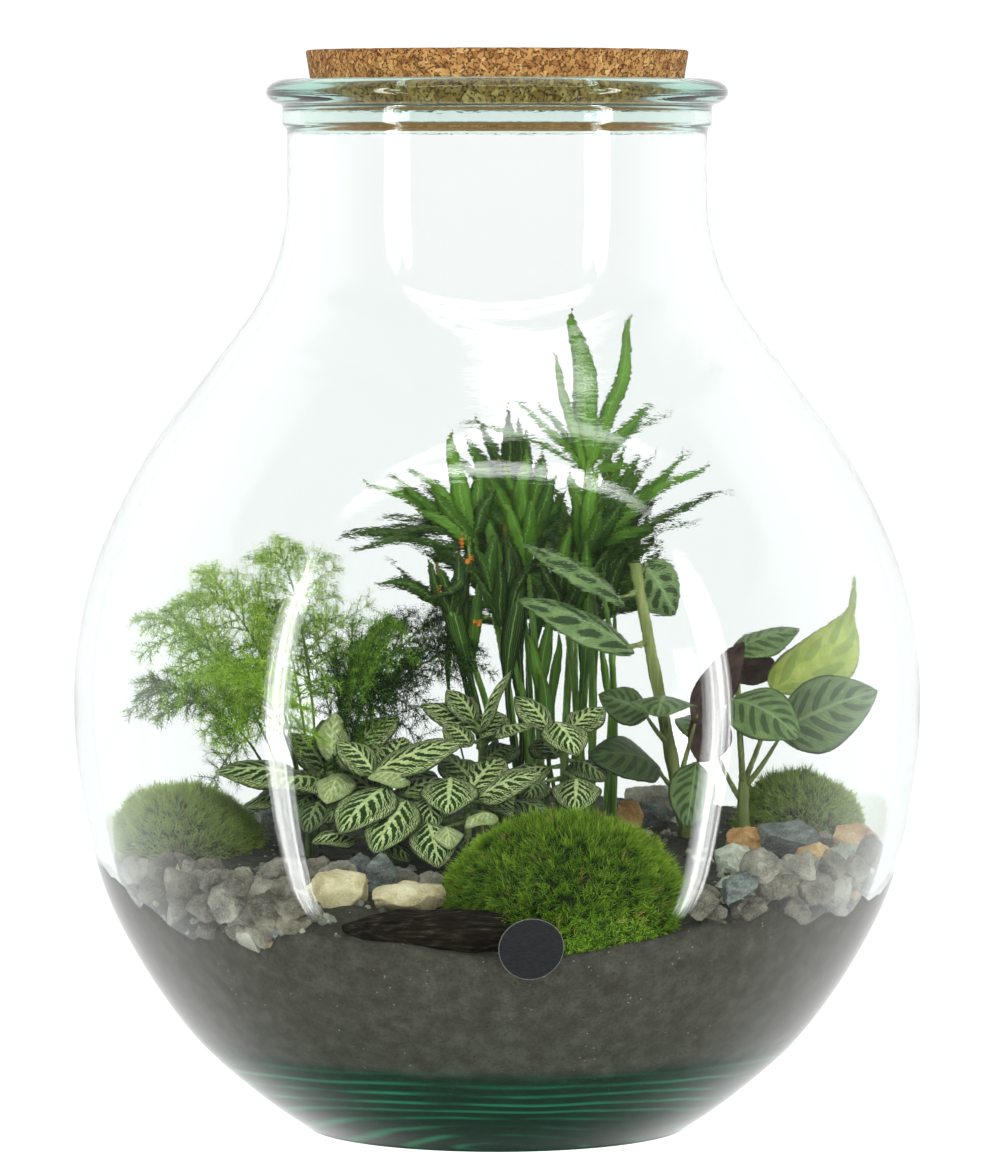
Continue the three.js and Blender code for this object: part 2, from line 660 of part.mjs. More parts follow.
const FERN_STEM = { steps: 4, foot: 1, tip: 0.5, pairs: FERN_PAIRS, bare: FERN_BARE };
function fernBranchlet(at, along, across, place, hand, n) {
  const open = radians(mix(62, 30, place) + 10 * (vary(n, 1) - 0.5));
  const length = FERN_BRANCH * mix(1, 0.45, place) * mix(0.88, 1.1, vary(n, 2));
  const way = along.clone().multiplyScalar(Math.cos(open)).addScaledVector(across, hand * Math.sin(open));
  const steps = Math.max(3, Math.round(length / NEEDLE_STEP));
  const path = Array.from({ length: steps + 1 }, (_, i) => {
    const t = i / steps;
    const p = at.clone().addScaledVector(way, length * t);
    p.z -= 3.5 * t * t;
    return p;
  });
  const bare = stalk(path, path.map((_, i) => mix(0.75, 0.45, i / steps)), 3);
  const needled = raised(bare, (middle, outward, i) => {
    if (i % 2 === 1 || i < 6 || i >= 6 * steps) return null; // the first stretch is bare
    const reach = NEEDLE * mix(0.8, 1.1, vary(n, i));
    return middle.addScaledVector(outward, reach * 0.75).addScaledVector(way, reach * 0.65);
  });
  return solidOfShell(needled);
}

// The point of a rising path at height z
function pointAtHeight(path, z) {
  const k = Math.max(1, path.findIndex((p) => p.z >= z));
  const [low, high] = [path[k - 1], path[k]];
  return low.clone().lerp(high, (z - low.z) / (high.z - low.z));
}

// A thin stalk from a stem to a leaf, ending a little way inside the blade
function leafStalk(from, leaf, radius) {
  return solidOfShell(stalk([from, leafFrame(leaf).ribAt(0.12)], [radius, radius * 0.4], 3));
}

const NERVE_STATIONS = [0.08, 0.34, 0.72];
function nerveStem({ foot, top, leaves }) {
  const bend = [foot[0], foot[1], mix(soilTop(...foot), top[2], 0.7)];
  const { path } = stemPath({ foot, bend, end: top }, 3);
  const pieces = [solidOfShell(stalk(path, [1.5, 1.5, 1.4, 1.3, 1.2], STEM_SIDES))];
  leaves.forEach(({ width, ...ends }, k) => {
    const [base, tip] = [point(ends.base), point(ends.tip)];
    const away = tip.clone().sub(base).setZ(0).normalize();
    const rise = (tip.z - base.z) / tip.distanceTo(base);
    const up = UP.clone().addScaledVector(away, 0.35 - rise).add(new THREE.Vector3(0, -0.45, 0));
    const from = pointAtHeight(path, Math.min(top[2] - 1, base.z + 1));
    const leaf = { base, tip, width, up, arch: 2.2 + vary(k, 5), cup: 2, thick: 1.3, stations: NERVE_STATIONS };
    pieces.push(leafStalk(from, leaf, 0.9), blade(leaf));
  });
  return joined(pieces);
}

const PRAYER_STATIONS = [0.06, 0.25, 0.5, 0.75, 0.92];
function prayerCrown({ stem, radius, leaves }) {
  const [foot, bend, end] = stem;
  const { path } = stemPath({ foot, bend, end }, 4);
  const radii = path.map((_, i) => mix(radius, radius * 0.8, i / (path.length - 1)));
  const pieces = [solidOfShell(stalk(path, radii, STEM_SIDES))];
  for (const { from, width, arch, ...rest } of leaves) {
    const [base, tip, up] = [rest.base, rest.tip, rest.up].map(point);
    const leaf = { base, tip, up, width, arch, cup: 2.5, thick: 1.4, stations: PRAYER_STATIONS };
    pieces.push(leafStalk(pointAtHeight(path, from), leaf, 1.1), blade(leaf));
  }
  return joined(pieces);
}

// The whole object

const terrarium = new THREE.Group();

function place(name, shape, colour, roughness, options = {}) {
  const mesh = shape.isMesh ? shape : new THREE.Mesh(shape.isBufferGeometry ? shape : geometryOf(shape));
  mesh.name = name;
  mesh.material = new THREE.MeshStandardMaterial({ color: colour, roughness, metalness: 0, ...options });
  terrarium.add(mesh);
}

place("glass_jar", jarGeometry(), COLOURS.glass, 0.05, { transparent: true, opacity: 0.3 });
place("cork", corkGeometry(), COLOURS.cork, 0.85);
place("label", labelMesh(), COLOURS.label, 0.5);

const room = roomInJar();
const pockets = [];

MOSS.forEach((cushion) => {
  pockets.push(mossSolid(cushion, GAP));
  place(cushion.name, mainBody(mossSolid(cushion).intersect(room)), COLOURS.moss, 0.9);
});

// A stone that meets an earlier one, or a cushion, is worn back to it
const beds = [...pockets];
[...STONES, BARK].forEach((stone, i) => {
  const worn = stoneSolid(stone, i + 1).intersect(room).subtract(Manifold.union(beds));
  const pocket = stoneSolid(stone, i + 1, GAP);
  beds.push(pocket);
  pockets.push(pocket);
  const name = stone === BARK ? "bark_piece" : `stone_${String(i + 1).padStart(2, "0")}`;
  place(name, mainBody(worn), stone.colour, 0.8);
});

const palm = PALM_FRONDS.map((frond, i) => frondSolid(frond, i + 1, PALM_STEM, palmLeaflet(frond)));
const fern = FERN_FRONDS.map((frond, i) => frondSolid(frond, i + 31, FERN_STEM, fernBranchlet));
const plants = [
  { name: "palm", pieces: fuseCrossing(palm), colour: COLOURS.palm },
  { name: "asparagus_fern", pieces: fuseCrossing(fern), colour: COLOURS.fern },
  { name: "nerve_plant", pieces: fuseCrossing(NERVE_STEMS.map(nerveStem)), colour: COLOURS.nerve },
];
for (const { name, pieces, colour } of plants)
  pieces.forEach((piece, i) => place(`${name}_${i + 1}`, piece, colour, 0.55));
for (const crown of PRAYER_CROWNS) place(crown.name, prayerCrown(crown), COLOURS.prayer, 0.5);

PALM_FRONDS.forEach(({ foot }) => pockets.push(stemHole(foot, PALM_STEM.foot)));
FERN_FRONDS.forEach(({ foot }) => pockets.push(stemHole(foot, FERN_STEM.foot)));
NERVE_STEMS.forEach(({ foot }) => pockets.push(stemHole(foot, 1.5)));
PRAYER_CROWNS.forEach(({ stem, radius }) => pockets.push(stemHole(stem[0], radius)));
const soil = mainBody(room.intersect(moundSolid()).subtract(Manifold.union(pockets)));
place("soil", soil, COLOURS.soil, 0.95);

export default terrarium;
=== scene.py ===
# %% [markdown]
# # A planted glass terrarium
#
# A round-bellied jar of green recycled glass, 300 mm across, holds a bed of soil with gravel, three moss cushions
# and four plants: a parlour palm, an asparagus fern, a nerve plant and a prayer plant. A cork closes its neck.
#
# The solid model of the same object is loaded first as a fixed frame. Each piece made below stands for one or more
# of its solids, keeps their place and form, and adds what a solid can't carry: shoots, needles, veins, grain and
# colour. Everything is measured in millimetres here and made in metres, with +Z up and the planting facing -Y.

# %% The frame
import json
import math

import bmesh
import bpy
import numpy as np
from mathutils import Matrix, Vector, noise

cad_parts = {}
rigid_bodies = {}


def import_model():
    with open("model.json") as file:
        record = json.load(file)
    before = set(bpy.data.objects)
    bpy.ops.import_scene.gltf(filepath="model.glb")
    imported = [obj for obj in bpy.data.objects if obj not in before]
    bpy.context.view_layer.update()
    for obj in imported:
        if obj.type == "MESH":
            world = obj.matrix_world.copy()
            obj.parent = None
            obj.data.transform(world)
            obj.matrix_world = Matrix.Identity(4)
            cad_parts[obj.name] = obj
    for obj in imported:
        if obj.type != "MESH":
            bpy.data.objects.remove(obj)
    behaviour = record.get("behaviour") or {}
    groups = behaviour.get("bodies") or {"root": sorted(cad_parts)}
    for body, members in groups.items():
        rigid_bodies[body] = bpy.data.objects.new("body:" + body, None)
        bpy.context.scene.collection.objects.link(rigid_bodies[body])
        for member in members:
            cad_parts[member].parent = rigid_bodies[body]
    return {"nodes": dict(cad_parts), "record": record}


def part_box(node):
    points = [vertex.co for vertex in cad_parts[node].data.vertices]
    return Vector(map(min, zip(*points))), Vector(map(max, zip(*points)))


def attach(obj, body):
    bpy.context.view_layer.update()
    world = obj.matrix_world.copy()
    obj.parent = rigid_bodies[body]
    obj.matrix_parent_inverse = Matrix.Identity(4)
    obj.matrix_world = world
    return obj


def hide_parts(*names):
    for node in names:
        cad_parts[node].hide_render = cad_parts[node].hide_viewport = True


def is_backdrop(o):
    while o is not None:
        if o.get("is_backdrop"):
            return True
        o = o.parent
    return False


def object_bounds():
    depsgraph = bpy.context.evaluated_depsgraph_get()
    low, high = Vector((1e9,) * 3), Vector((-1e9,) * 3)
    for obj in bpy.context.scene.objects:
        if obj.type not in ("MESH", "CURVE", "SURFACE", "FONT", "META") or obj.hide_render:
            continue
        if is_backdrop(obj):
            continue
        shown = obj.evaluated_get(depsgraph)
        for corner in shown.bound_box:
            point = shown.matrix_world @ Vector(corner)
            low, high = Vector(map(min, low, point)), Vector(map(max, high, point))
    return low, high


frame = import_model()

solid_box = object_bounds()
MM = 0.001
print("solids in the frame:", len(frame["nodes"]))

# %% [markdown]
# ## Small tools for finishes
#
# A finish is a tree of shader nodes. Made by hand each node takes four or five lines, so a few short helpers put a
# node in, link its inputs and return its output. A number that is the same all over a surface is still set straight
# on the shader's own socket.

# %% Helpers for node trees
def put(tree, kind, inputs=None, out=0, **settings):
    """Adds a node. Each input is a plain value or another node's output."""
    node = tree.nodes.new(kind)
    for key, value in settings.items():
        setattr(node, key, value)
    for key, value in (inputs or {}).items():
        if isinstance(value, bpy.types.NodeSocket):
            tree.links.new(value, node.inputs[key])
        else:
            node.inputs[key].default_value = value
    return node.outputs[out]


def calc(tree, operation, *values, clamp=False):
    return put(tree, "ShaderNodeMath", dict(enumerate(values)), operation=operation, use_clamp=clamp)


def fade(tree, value, start, end, low=0.0, high=1.0):
    """Goes smoothly from low to high while value goes from start to end."""
    sockets = {"Value": value, "From Min": start, "From Max": end, "To Min": low, "To Max": high}
    return put(tree, "ShaderNodeMapRange", sockets, interpolation_type="SMOOTHSTEP")


def hue(code):
    """A colour written as on paper, such as "7fa03c", in the linear values that a shader takes."""
    parts = [int(code[i : i + 2], 16) / 255 for i in (0, 2, 4)]
    return (*[p / 12.92 if p <= 0.04045 else ((p + 0.055) / 1.055) ** 2.4 for p in parts], 1)


def mixed(tree, amount, a, b, how="MIX"):
    sockets = {0: amount, 6: hue(a) if isinstance(a, str) else a, 7: hue(b) if isinstance(b, str) else b}
    return put(tree, "ShaderNodeMix", sockets, out=2, data_type="RGBA", blend_type=how)


def ramp(tree, value, *stops):
    """A colour for each value: stops are (value, colour)."""
    colour = put(tree, "ShaderNodeValToRGB", {"Fac": value})
    points = colour.node.color_ramp.elements
    while len(points) < len(stops):
        points.new(0.5)
    for element, (at, code) in zip(points, stops):
        element.position = at
        element.color = hue(code)
    return colour


def place_on(tree, stretch=(1, 1, 1)):
    """The place on the object in millimetres, each axis multiplied by stretch."""
    place = put(tree, "ShaderNodeTexCoord", out="Object")
    return put(tree, "ShaderNodeMapping", {"Vector": place, "Scale": [s / MM for s in stretch]})


def axis_of(tree, place, axis):
    """One of the three numbers of a place."""
    return put(tree, "ShaderNodeSeparateXYZ", {"Vector": place}, out=axis)


def clouds(tree, where, scale, detail=3.0, roughness=0.55, out="Fac"):
    sockets = {"Vector": where, "Scale": scale, "Detail": detail, "Roughness": roughness}
    return put(tree, "ShaderNodeTexNoise", sockets, out=out)


def cells(tree, where, scale, feature="F1", out="Distance"):
    return put(tree, "ShaderNodeTexVoronoi", {"Vector": where, "Scale": scale}, out=out, feature=feature)


def trait(tree, name):
    """A number that is stored on the mesh."""
    return put(tree, "ShaderNodeAttribute", out="Fac", attribute_name=name)


def finish(name, **sockets):
    """A new finish: its material, its tree and its shader."""
    material = bpy.data.materials.new(name)
    material.use_nodes = True
    shader = material.node_tree.nodes["Principled BSDF"]
    for key, value in sockets.items():
        shader.inputs[key.replace("_", " ")].default_value = value
    return material, material.node_tree, shader


def feed(tree, shader, **sockets):
    for key, value in sockets.items():
        tree.links.new(value, shader.inputs[key.replace("_", " ")])


def dented(tree, shader, height, depth):
    """Gives the shader a relief: height from 0 to 1, depth in millimetres."""
    bump = {"Height": height, "Distance": depth * MM, "Strength": 1.0}
    feed(tree, shader, Normal=put(tree, "ShaderNodeBump", bump))


def grained_finish(name, stretch, scale, detail, depth, *stops, rough=0.55, **settings):
    """A finish whose colour and relief follow one cloudy pattern, drawn out along an axis that stretch makes small."""
    material, tree, shader = finish(name, **settings)
    grain = clouds(tree, place_on(tree, stretch), scale, detail, rough)
    feed(tree, shader, Base_Color=ramp(tree, grain, *stops))
    if depth:
        dented(tree, shader, grain, depth)
    return material


# %% [markdown]
# ## Small tools for shapes
#
# Lathe work, leaves and stalks are all skins through rings of points. A piece can gather many of them before it
# becomes one mesh, and each face keeps the finish it takes. Leaves also keep a flat map of themselves: the left half
# of the map is the upper face and the right half the underside, so that one finish can colour both.

# %% Gathering points and faces
class Shape:
    def __init__(self):
        self.points, self.faces, self.maps, self.kinds, self.tones = [], [], [], [], []

    def add(self, points, faces, maps=None, kind=0, tone=0.5):
        start = len(self.points)
        self.points += [tuple(p) for p in points]
        self.faces += [[start + k for k in face] for face in faces]
        self.maps += maps or [[(0.25, 0.5)] * len(face) for face in faces]
        self.kinds += kind if isinstance(kind, list) else [kind] * len(faces)
        self.tones += [tone] * len(points)

    def made(self, name, finishes, smooth=True):
        mesh = mesh_of(name, self.points, self.faces, tone=self.tones)
        for material in finishes:
            mesh.materials.append(material)
        mesh.polygons.foreach_set("material_index", self.kinds)
        mesh.polygons.foreach_set("use_smooth", [smooth] * len(self.faces))
        flat_map = mesh.uv_layers.new(name="UVMap")
        flat_map.data.foreach_set("uv", [c for corners in self.maps for uv in corners for c in uv])
        return shown(name, mesh)


def mesh_of(name, points, faces, edges=(), **traits):
    """A mesh from points in millimetres. Each trait is a number for every point."""
    mesh = bpy.data.meshes.new(name)
    mesh.from_pydata([(x * MM, y * MM, z * MM) for x, y, z in points], edges, faces)
    for trait_name, values in traits.items():
        mesh.attributes.new(trait_name, "FLOAT", "POINT").data.foreach_set("value", values)
    return mesh


def shown(name, mesh):
    obj = bpy.data.objects.new(name, mesh)
    bpy.context.scene.collection.objects.link(obj)
    return obj


def settle(obj, slot, *nodes):
    """The piece rides on the part's one body and stands for its solids. Its slot is not used."""
    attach(obj, "root")
    if nodes:
        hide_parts(*nodes)
    triangles = sum(len(p.vertices) - 2 for p in obj.data.polygons)
    print(f"{obj.name}: {triangles} triangles")


print("one millimetre in the scene:", MM)

# %% [markdown]
# A skin closes in a pole where a ring is a single point. Chance is repeatable here: the same thing always gets the
# same number, so every run gives the same plant.

# %% Skins, stalks and chance
def skin(rings):
    """Faces through rings of equal count. A ring of one point closes the skin in a pole."""
    points = [p for ring in rings for p in ring]
    sides = max(len(ring) for ring in rings)
    faces, start = [], 0
    for low, high in zip(rings, rings[1:]):
        after = start + len(low)
        for k in range(sides):
            n = (k + 1) % sides
            a, b = (start + k % len(low), start + n % len(low))
            c, d = (after + n % len(high), after + k % len(high))
            faces.append(list(dict.fromkeys([a, b, c, d])))
        start = after
    return points, faces


def turned(outline, sides):
    """An outline of (radius, height) turned about Z. A radius of 0 at an end closes it in a pole."""
    angles = [2 * math.pi * k / sides for k in range(sides)]
    return skin([[(r * math.cos(a), r * math.sin(a), z) for a in (angles if r else [0])] for r, z in outline])


def unit(v):
    return v / np.linalg.norm(v)


def vary(i, k):
    """A repeatable number from 0 to 1 for the i-th thing and the k-th of its traits."""
    return math.sin(i * 12.9898 + k * 78.233) * 43758.5453 % 1


def mix(a, b, t):
    return a + (b - a) * t


def within(value):
    return min(1.0, max(0.0, value))


def bumpy(p, size, octaves=3):
    """Soft lumps about size millimetres across, from -1 to 1."""
    return noise.fractal(Vector(p) / size, 0.6, 2.1, octaves)


def tube(path, radii, sides=6):
    """A stalk through points, closed at both ends."""
    path = np.array(path, float)
    whole = unit(path[-1] - path[0])
    reference = np.array([1.0, 0, 0]) if abs(whole[0]) < 0.8 else np.array([0, 1.0, 0])
    points = []
    for i, p in enumerate(path):
        along = unit(path[min(i + 1, len(path) - 1)] - path[max(i - 1, 0)])
        v = unit(np.cross(along, reference))
        u = np.cross(v, along)
        angles = [2 * math.pi * (k + 0.5) / sides for k in range(sides)]
        points += [p + radii[i] * (u * math.cos(a) + v * math.sin(a)) for a in angles]
    faces = [list(range(sides)), list(range(len(points) - 1, len(points) - 1 - sides, -1))]
    for i in range(len(path) - 1):
        for k in range(sides):
            a, b = i * sides + k, i * sides + (k + 1) % sides
            faces.append([a, a + sides, b + sides, b])
    return points, faces


print("tools ready")

# %% [markdown]
# ## The view
#
# The photograph looks at the jar from 2.3 m away, a little from above, through a long lens, so the jar's sides stay
# almost parallel. Light passes many faces on its way through two walls of glass, so it is followed for 14 steps.

# %% Camera
STEPS_OF_LIGHT = 14

scene = bpy.context.scene
scene.view_settings.view_transform = "Standard"
scene.cycles.use_denoising = True
scene.cycles.max_bounces = STEPS_OF_LIGHT
scene.cycles.transmission_bounces = STEPS_OF_LIGHT
scene.cycles.transparent_max_bounces = STEPS_OF_LIGHT
scene.cycles.diffuse_bounces = 3
scene.cycles.caustics_refractive = False
scene.cycles.caustics_reflective = False
scene.cycles.sample_clamp_indirect = 8

lens = bpy.data.cameras.new("camera")
lens.lens = 203.4
lens.sensor_width = 36
camera = bpy.data.objects.new("camera", lens)
camera.location = (0.001, -2.333, 0.346)
camera.rotation_euler = (math.radians(90 - 3.76), 0, 0)
scene.collection.objects.link(camera)
scene.camera = camera
print("camera, m from the jar:", round(-camera.location.y, 2))

# %% [markdown]
# The light is that of a white studio. Two tall softboxes stand to the left and right, and the glass shows them as
# curved strips. Two long thin ones overhead give its double arc, and a broad one fills in from the front. Their light
# fades towards the edges of the cloth, as a real softbox does, so their reflections have soft edges too.

# %% Softboxes
FOLDS = 3.4  # folds of the cloth from the middle of a softbox to its edge


def softbox(name, place, aim, size, power):
    """A cloth-fronted lamp: soft at its edges, rounded at its ends, and streaked along its folds."""
    light = bpy.data.lights.new(name, "AREA")
    light.shape = "RECTANGLE"
    light.size, light.size_y = size
    light.energy = power
    light.use_nodes = True
    tree = light.node_tree
    on_cloth = axis_of(tree, put(tree, "ShaderNodeNewGeometry", out="Parametric"), "X")
    x, y = (calc(tree, "MULTIPLY_ADD", s, 2.0, -1.0) for s in on_cloth.node.outputs[:2])
    stretch = (FOLDS, FOLDS / 4) if size[0] < size[1] else (FOLDS / 4, FOLDS)
    folds = {axis: calc(tree, "MULTIPLY", s, times) for axis, s, times in zip("XY", (x, y), stretch)}
    folds = clouds(tree, put(tree, "ShaderNodeCombineXYZ", folds), 1.0, 3.0)
    x, y = (calc(tree, "POWER", calc(tree, "ABSOLUTE", s), steepness) for s, steepness in ((x, 2.0), (y, 4.0)))
    out = calc(tree, "ADD", calc(tree, "ADD", x, y), calc(tree, "MULTIPLY_ADD", folds, 0.9, -0.45))
    glow = calc(tree, "MULTIPLY", fade(tree, out, 0.3, 1.0, 1.0, 0.0), fade(tree, folds, 0.36, 0.6, 1.0, 0.4))
    tree.links.new(glow, tree.nodes["Emission"].inputs["Strength"])
    lamp = bpy.data.objects.new(name, light)
    lamp.location = place
    lamp.rotation_euler = (Vector(aim) - Vector(place)).to_track_quat("-Z", "Y").to_euler()
    scene.collection.objects.link(lamp)
    return lamp


softbox("softbox_left", (-1.55, -0.92, 0.1), (0, 0, 0.1), (0.23, 2.75), 38)
softbox("softbox_right", (1.55, -0.92, 0.1), (0, 0, 0.1), (0.25, 2.75), 42)
softbox("strip_above", (0, -0.95, 1.75), (0, 0, 0.2), (3.1, 0.13), 13)
softbox("strip_further_above", (0.15, -0.62, 1.9), (0, 0, 0.2), (2.7, 0.1), 6)
fill = softbox("fill_from_the_front", (0.2, -1.9, 1.2), (0, 0, 0.15), (1.6, 1.2), 58)
fill.visible_glossy = fill.visible_transmission = False  # a flag keeps it off the glass

# %% [markdown]
# The backdrop is bright and the room behind the camera is dim, so the glass has something to show against. From the
# sides and from behind, the jar would then stand before that dim room. So a pale screen stands there too, which only
# shows where it is looked at straight through the glass, without a reflection. The floor glows a little, to be as
# pale as the backdrop.

# %% Backdrop and floor
BACKDROP_LIGHT, ROOM_LIGHT, SCREEN_LIGHT = 1.12, 0.09, 0.88
FLOOR_REACH = 14

world = bpy.data.worlds.new("studio")
scene.world = world
world.use_nodes = True
sky = world.node_tree
towards = put(sky, "ShaderNodeTexCoord", out="Generated")
back = axis_of(sky, towards, "Y")
up = back.node.outputs["Z"]
backdrop = fade(sky, back, -0.35, 0.6, ROOM_LIGHT, BACKDROP_LIGHT)
backdrop = calc(sky, "MULTIPLY", backdrop, fade(sky, up, -0.95, -0.45, 0.12, 1.0))
rays = put(sky, "ShaderNodeLightPath").node.outputs
mirrored = calc(sky, "ADD", rays["Glossy Depth"], rays["Diffuse Depth"])
straight_through = calc(sky, "MULTIPLY", rays["Is Transmission Ray"], calc(sky, "LESS_THAN", mirrored, 0.5))
screen = calc(sky, "MULTIPLY", fade(sky, back, -0.05, 0.12, SCREEN_LIGHT, 0.0), straight_through)
backdrop = calc(sky, "MAXIMUM", backdrop, screen)
sky.links.new(backdrop, sky.nodes["Background"].inputs["Strength"])
sky.nodes["Background"].inputs["Color"].default_value = (1, 1, 1, 1)

floor_mesh = bpy.data.meshes.new("floor")
corners = [(x * FLOOR_REACH, y * FLOOR_REACH, 0) for x, y in ((-1, -1), (1, -1), (1, 1), (-1, 1))]
floor_mesh.from_pydata(corners, [], [(0, 1, 2, 3)])
floor_finish, _, _ = finish(
    "floor_white", Base_Color=hue("e6e6e5"), Roughness=0.9, Emission_Color=(1, 1, 1, 1), Emission_Strength=0.95
)
floor_mesh.materials.append(floor_finish)
floor = shown("floor", floor_mesh)
floor.visible_glossy = floor.visible_transmission = False
floor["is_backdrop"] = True
print("floor, m across:", 2 * FLOOR_REACH)

# %% [markdown]
# ## The jar
#
# The jar is one piece of blown glass: thick at the base and hollow under it, thin over the belly, with a collar and a
# rolled rim. It could be a single surface with Solidify, but its wall isn't even, and the thick base is what gives
# the dark green rings at the bottom. So the outline of the whole wall, outside and inside, is turned on a lathe.
# Cutting the outline's corners once rounds its foot and collar and leaves the curves as they are.

# %% The outline of the wall
OUTER_BODY = [
    (68, 0.6), (86, 13.4), (109, 34.6), (130.4, 66.4), (143, 98.2), (150, 148), (144.2, 193.6),
    (125.5, 236), (102.3, 268), (83.5, 294), (75.5, 316), (74.2, 335), (74.2, 352),
]
INNER_BODY = [
    (69.3, 335), (70.6, 315.4), (79.1, 291.5), (98.2, 264.4), (120.9, 232.9), (138.6, 191.6),
    (144, 149), (137, 99), (124.9, 69.8), (102.3, 40.8), (78, 27.5), (45, 25),
]
FLOOR_Z = 26  # where the glass of the base ends inside
PUNT_R, PUNT_HEIGHT = 60, 12  # the hollow under the base
BEAD_R, BEAD_Z = 73.6, 366.4  # the middle of the rolled rim
JAR_SIDES = 120


def curve_through(knots, steps):
    """A smooth curve through knots, as the solid model draws it."""
    knots = np.array(knots, float)
    last = len(knots) - 1
    curve = []
    for s in range(steps + 1):
        t = s / steps * last
        k = min(int(t), last - 1)
        w = t - k
        a, b, c, d = (knots[min(max(k + j, 0), last)] for j in (-1, 0, 1, 2))
        v, u = (c - a) / 2, (d - b) / 2
        curve.append((2 * b - 2 * c + v + u) * w**3 + (-3 * b + 3 * c - 2 * v - u) * w**2 + v * w + b)
    return np.array(curve)


outer_wall = curve_through(OUTER_BODY, 52)
inner_wall = curve_through(INNER_BODY, 44)
punt = [
    (2 * PUNT_R * t * (1 - t) * 0.6 + PUNT_R * t * t, PUNT_HEIGHT * (1 - t * t)) for t in np.linspace(0, 1, 9)
]
bead_angles = np.radians(np.linspace(-74, 215, 19))
bead = [(BEAD_R + 8 * math.cos(a), BEAD_Z + 4.8 * math.sin(a)) for a in bead_angles]
collar = [(74.3, 353.2), (74.9, 354.1), (75.5, 354.6), (75.8, 355.4), (75.8, 356.6), (75.8, 359)]
mouth = [(68.4, 362.4), (69.2, 361.4), (69.3, 360), (69.3, 358)]
outline = [*punt, (67.5, 0), *outer_wall, *collar, *bead, *mouth, *inner_wall, (0, FLOOR_Z)]


def corners_cut(line):
    """Each stretch keeps its middle half, so that every corner is cut, and the ends stay."""
    line = np.array(line, float)
    cut = [line[0]]
    for a, b in zip(line, line[1:]):
        cut += [a * 0.75 + b * 0.25, a * 0.25 + b * 0.75]
    return [tuple(p) for p in [*cut, line[-1]]]


def inner_radius(z):
    return np.interp(z, inner_wall[::-1, 1], inner_wall[::-1, 0])


def outer_radius(z):
    return np.interp(z, outer_wall[:, 1], outer_wall[:, 0])


print("wall over the belly, mm:", round(float(outer_radius(148) - inner_radius(148)), 1))

# %% [markdown]
# Recycled glass is clear where it is thin and bottle green where it is thick, because it takes a little light from
# every millimetre. Absorption inside the body gives that, where a tinted surface would be as green on the belly as
# in the base. Blown glass is also never quite even: faint rings and slow waves bend what is behind it. The Mix
# Shader lets lamps shine through to the plants, which a path tracer would otherwise treat as a caustic.

# %% Green glass
RIM_GREEN = "c3ded4"  # of the collar and the bead
SLANT = -0.06  # of a point's Y, added to its height, so that the green of the base ends lower in front

glass, tree, shader = finish(
    "green_recycled_glass", Base_Color=(1, 1, 1, 1), Roughness=0.0, IOR=1.5, Transmission_Weight=1.0
)
height = axis_of(tree, place_on(tree), "Z")
ripples = clouds(tree, place_on(tree, (0.16, 0.16, 0.5)), 1.0, 3.0)
ripples = calc(tree, "MULTIPLY", ripples, fade(tree, height, 165.0, 225.0, 0.35, 2.4))
waves = clouds(tree, place_on(tree, (0.02, 0.02, 0.045)), 1.0, 1.0)
foot_rings = clouds(tree, place_on(tree, (0.006, 0.006, 0.16)), 1.0, 1.0)
foot_rings = calc(tree, "MULTIPLY", foot_rings, fade(tree, height, 22.0, 48.0, 10.0, 0.0))
relief = calc(tree, "ADD", calc(tree, "MULTIPLY_ADD", waves, 4.0, ripples), foot_rings)
dented(tree, shader, relief, 0.012)
tint = mixed(tree, fade(tree, height, 359.0, 364.0), "ffffff", RIM_GREEN)
tint = mixed(tree, fade(tree, height, 353.0, 355.0, 0.0, 0.3), tint, RIM_GREEN)
slant = calc(tree, "MULTIPLY_ADD", height.node.outputs["Y"], SLANT, height)
ragged = calc(tree, "MULTIPLY_ADD", clouds(tree, place_on(tree, (1, 1, 0.3)), 0.05, 2.0), 6.0, slant)
tint = mixed(tree, fade(tree, ragged, 39.0, 44.0, 1.0, 0.0), tint, "58a98e")
feed(tree, shader, Base_Color=tint)
rays = put(tree, "ShaderNodeLightPath").node.outputs
lets_through = calc(tree, "MAXIMUM", rays["Is Shadow Ray"], rays["Is Diffuse Ray"])
clear = put(tree, "ShaderNodeBsdfTransparent", {"Color": (0.93, 0.96, 0.94, 1)})
both = put(tree, "ShaderNodeMixShader", {0: lets_through, 1: shader.outputs[0], 2: clear})
body = put(tree, "ShaderNodeVolumeAbsorption", {"Color": (0.0, 0.72, 0.5, 1), "Density": 6.0})
output = tree.nodes["Material Output"]
tree.links.new(both, output.inputs["Surface"])
tree.links.new(body, output.inputs["Volume"])

# %% [markdown]
# The outline is turned with sides fine enough for a smooth edge. The jar of the solid model gives way to it.

# %% The jar turned
jar = Shape()
jar.add(*turned(corners_cut(outline), JAR_SIDES))
settle(jar.made("jar_of_green_glass", [glass]), "glass", "glass_jar")

# %% [markdown]
# ## The cork
#
# Pressed cork is made of granules of 3 to 4 mm in many tans, with dark crumbs of bark between them and small pits
# where a granule has fallen out. The body is turned with fine rings, and every point is pushed in a little by a
# cellular pattern, so the pits show in its edge too. The finish gives each cell its own tan.

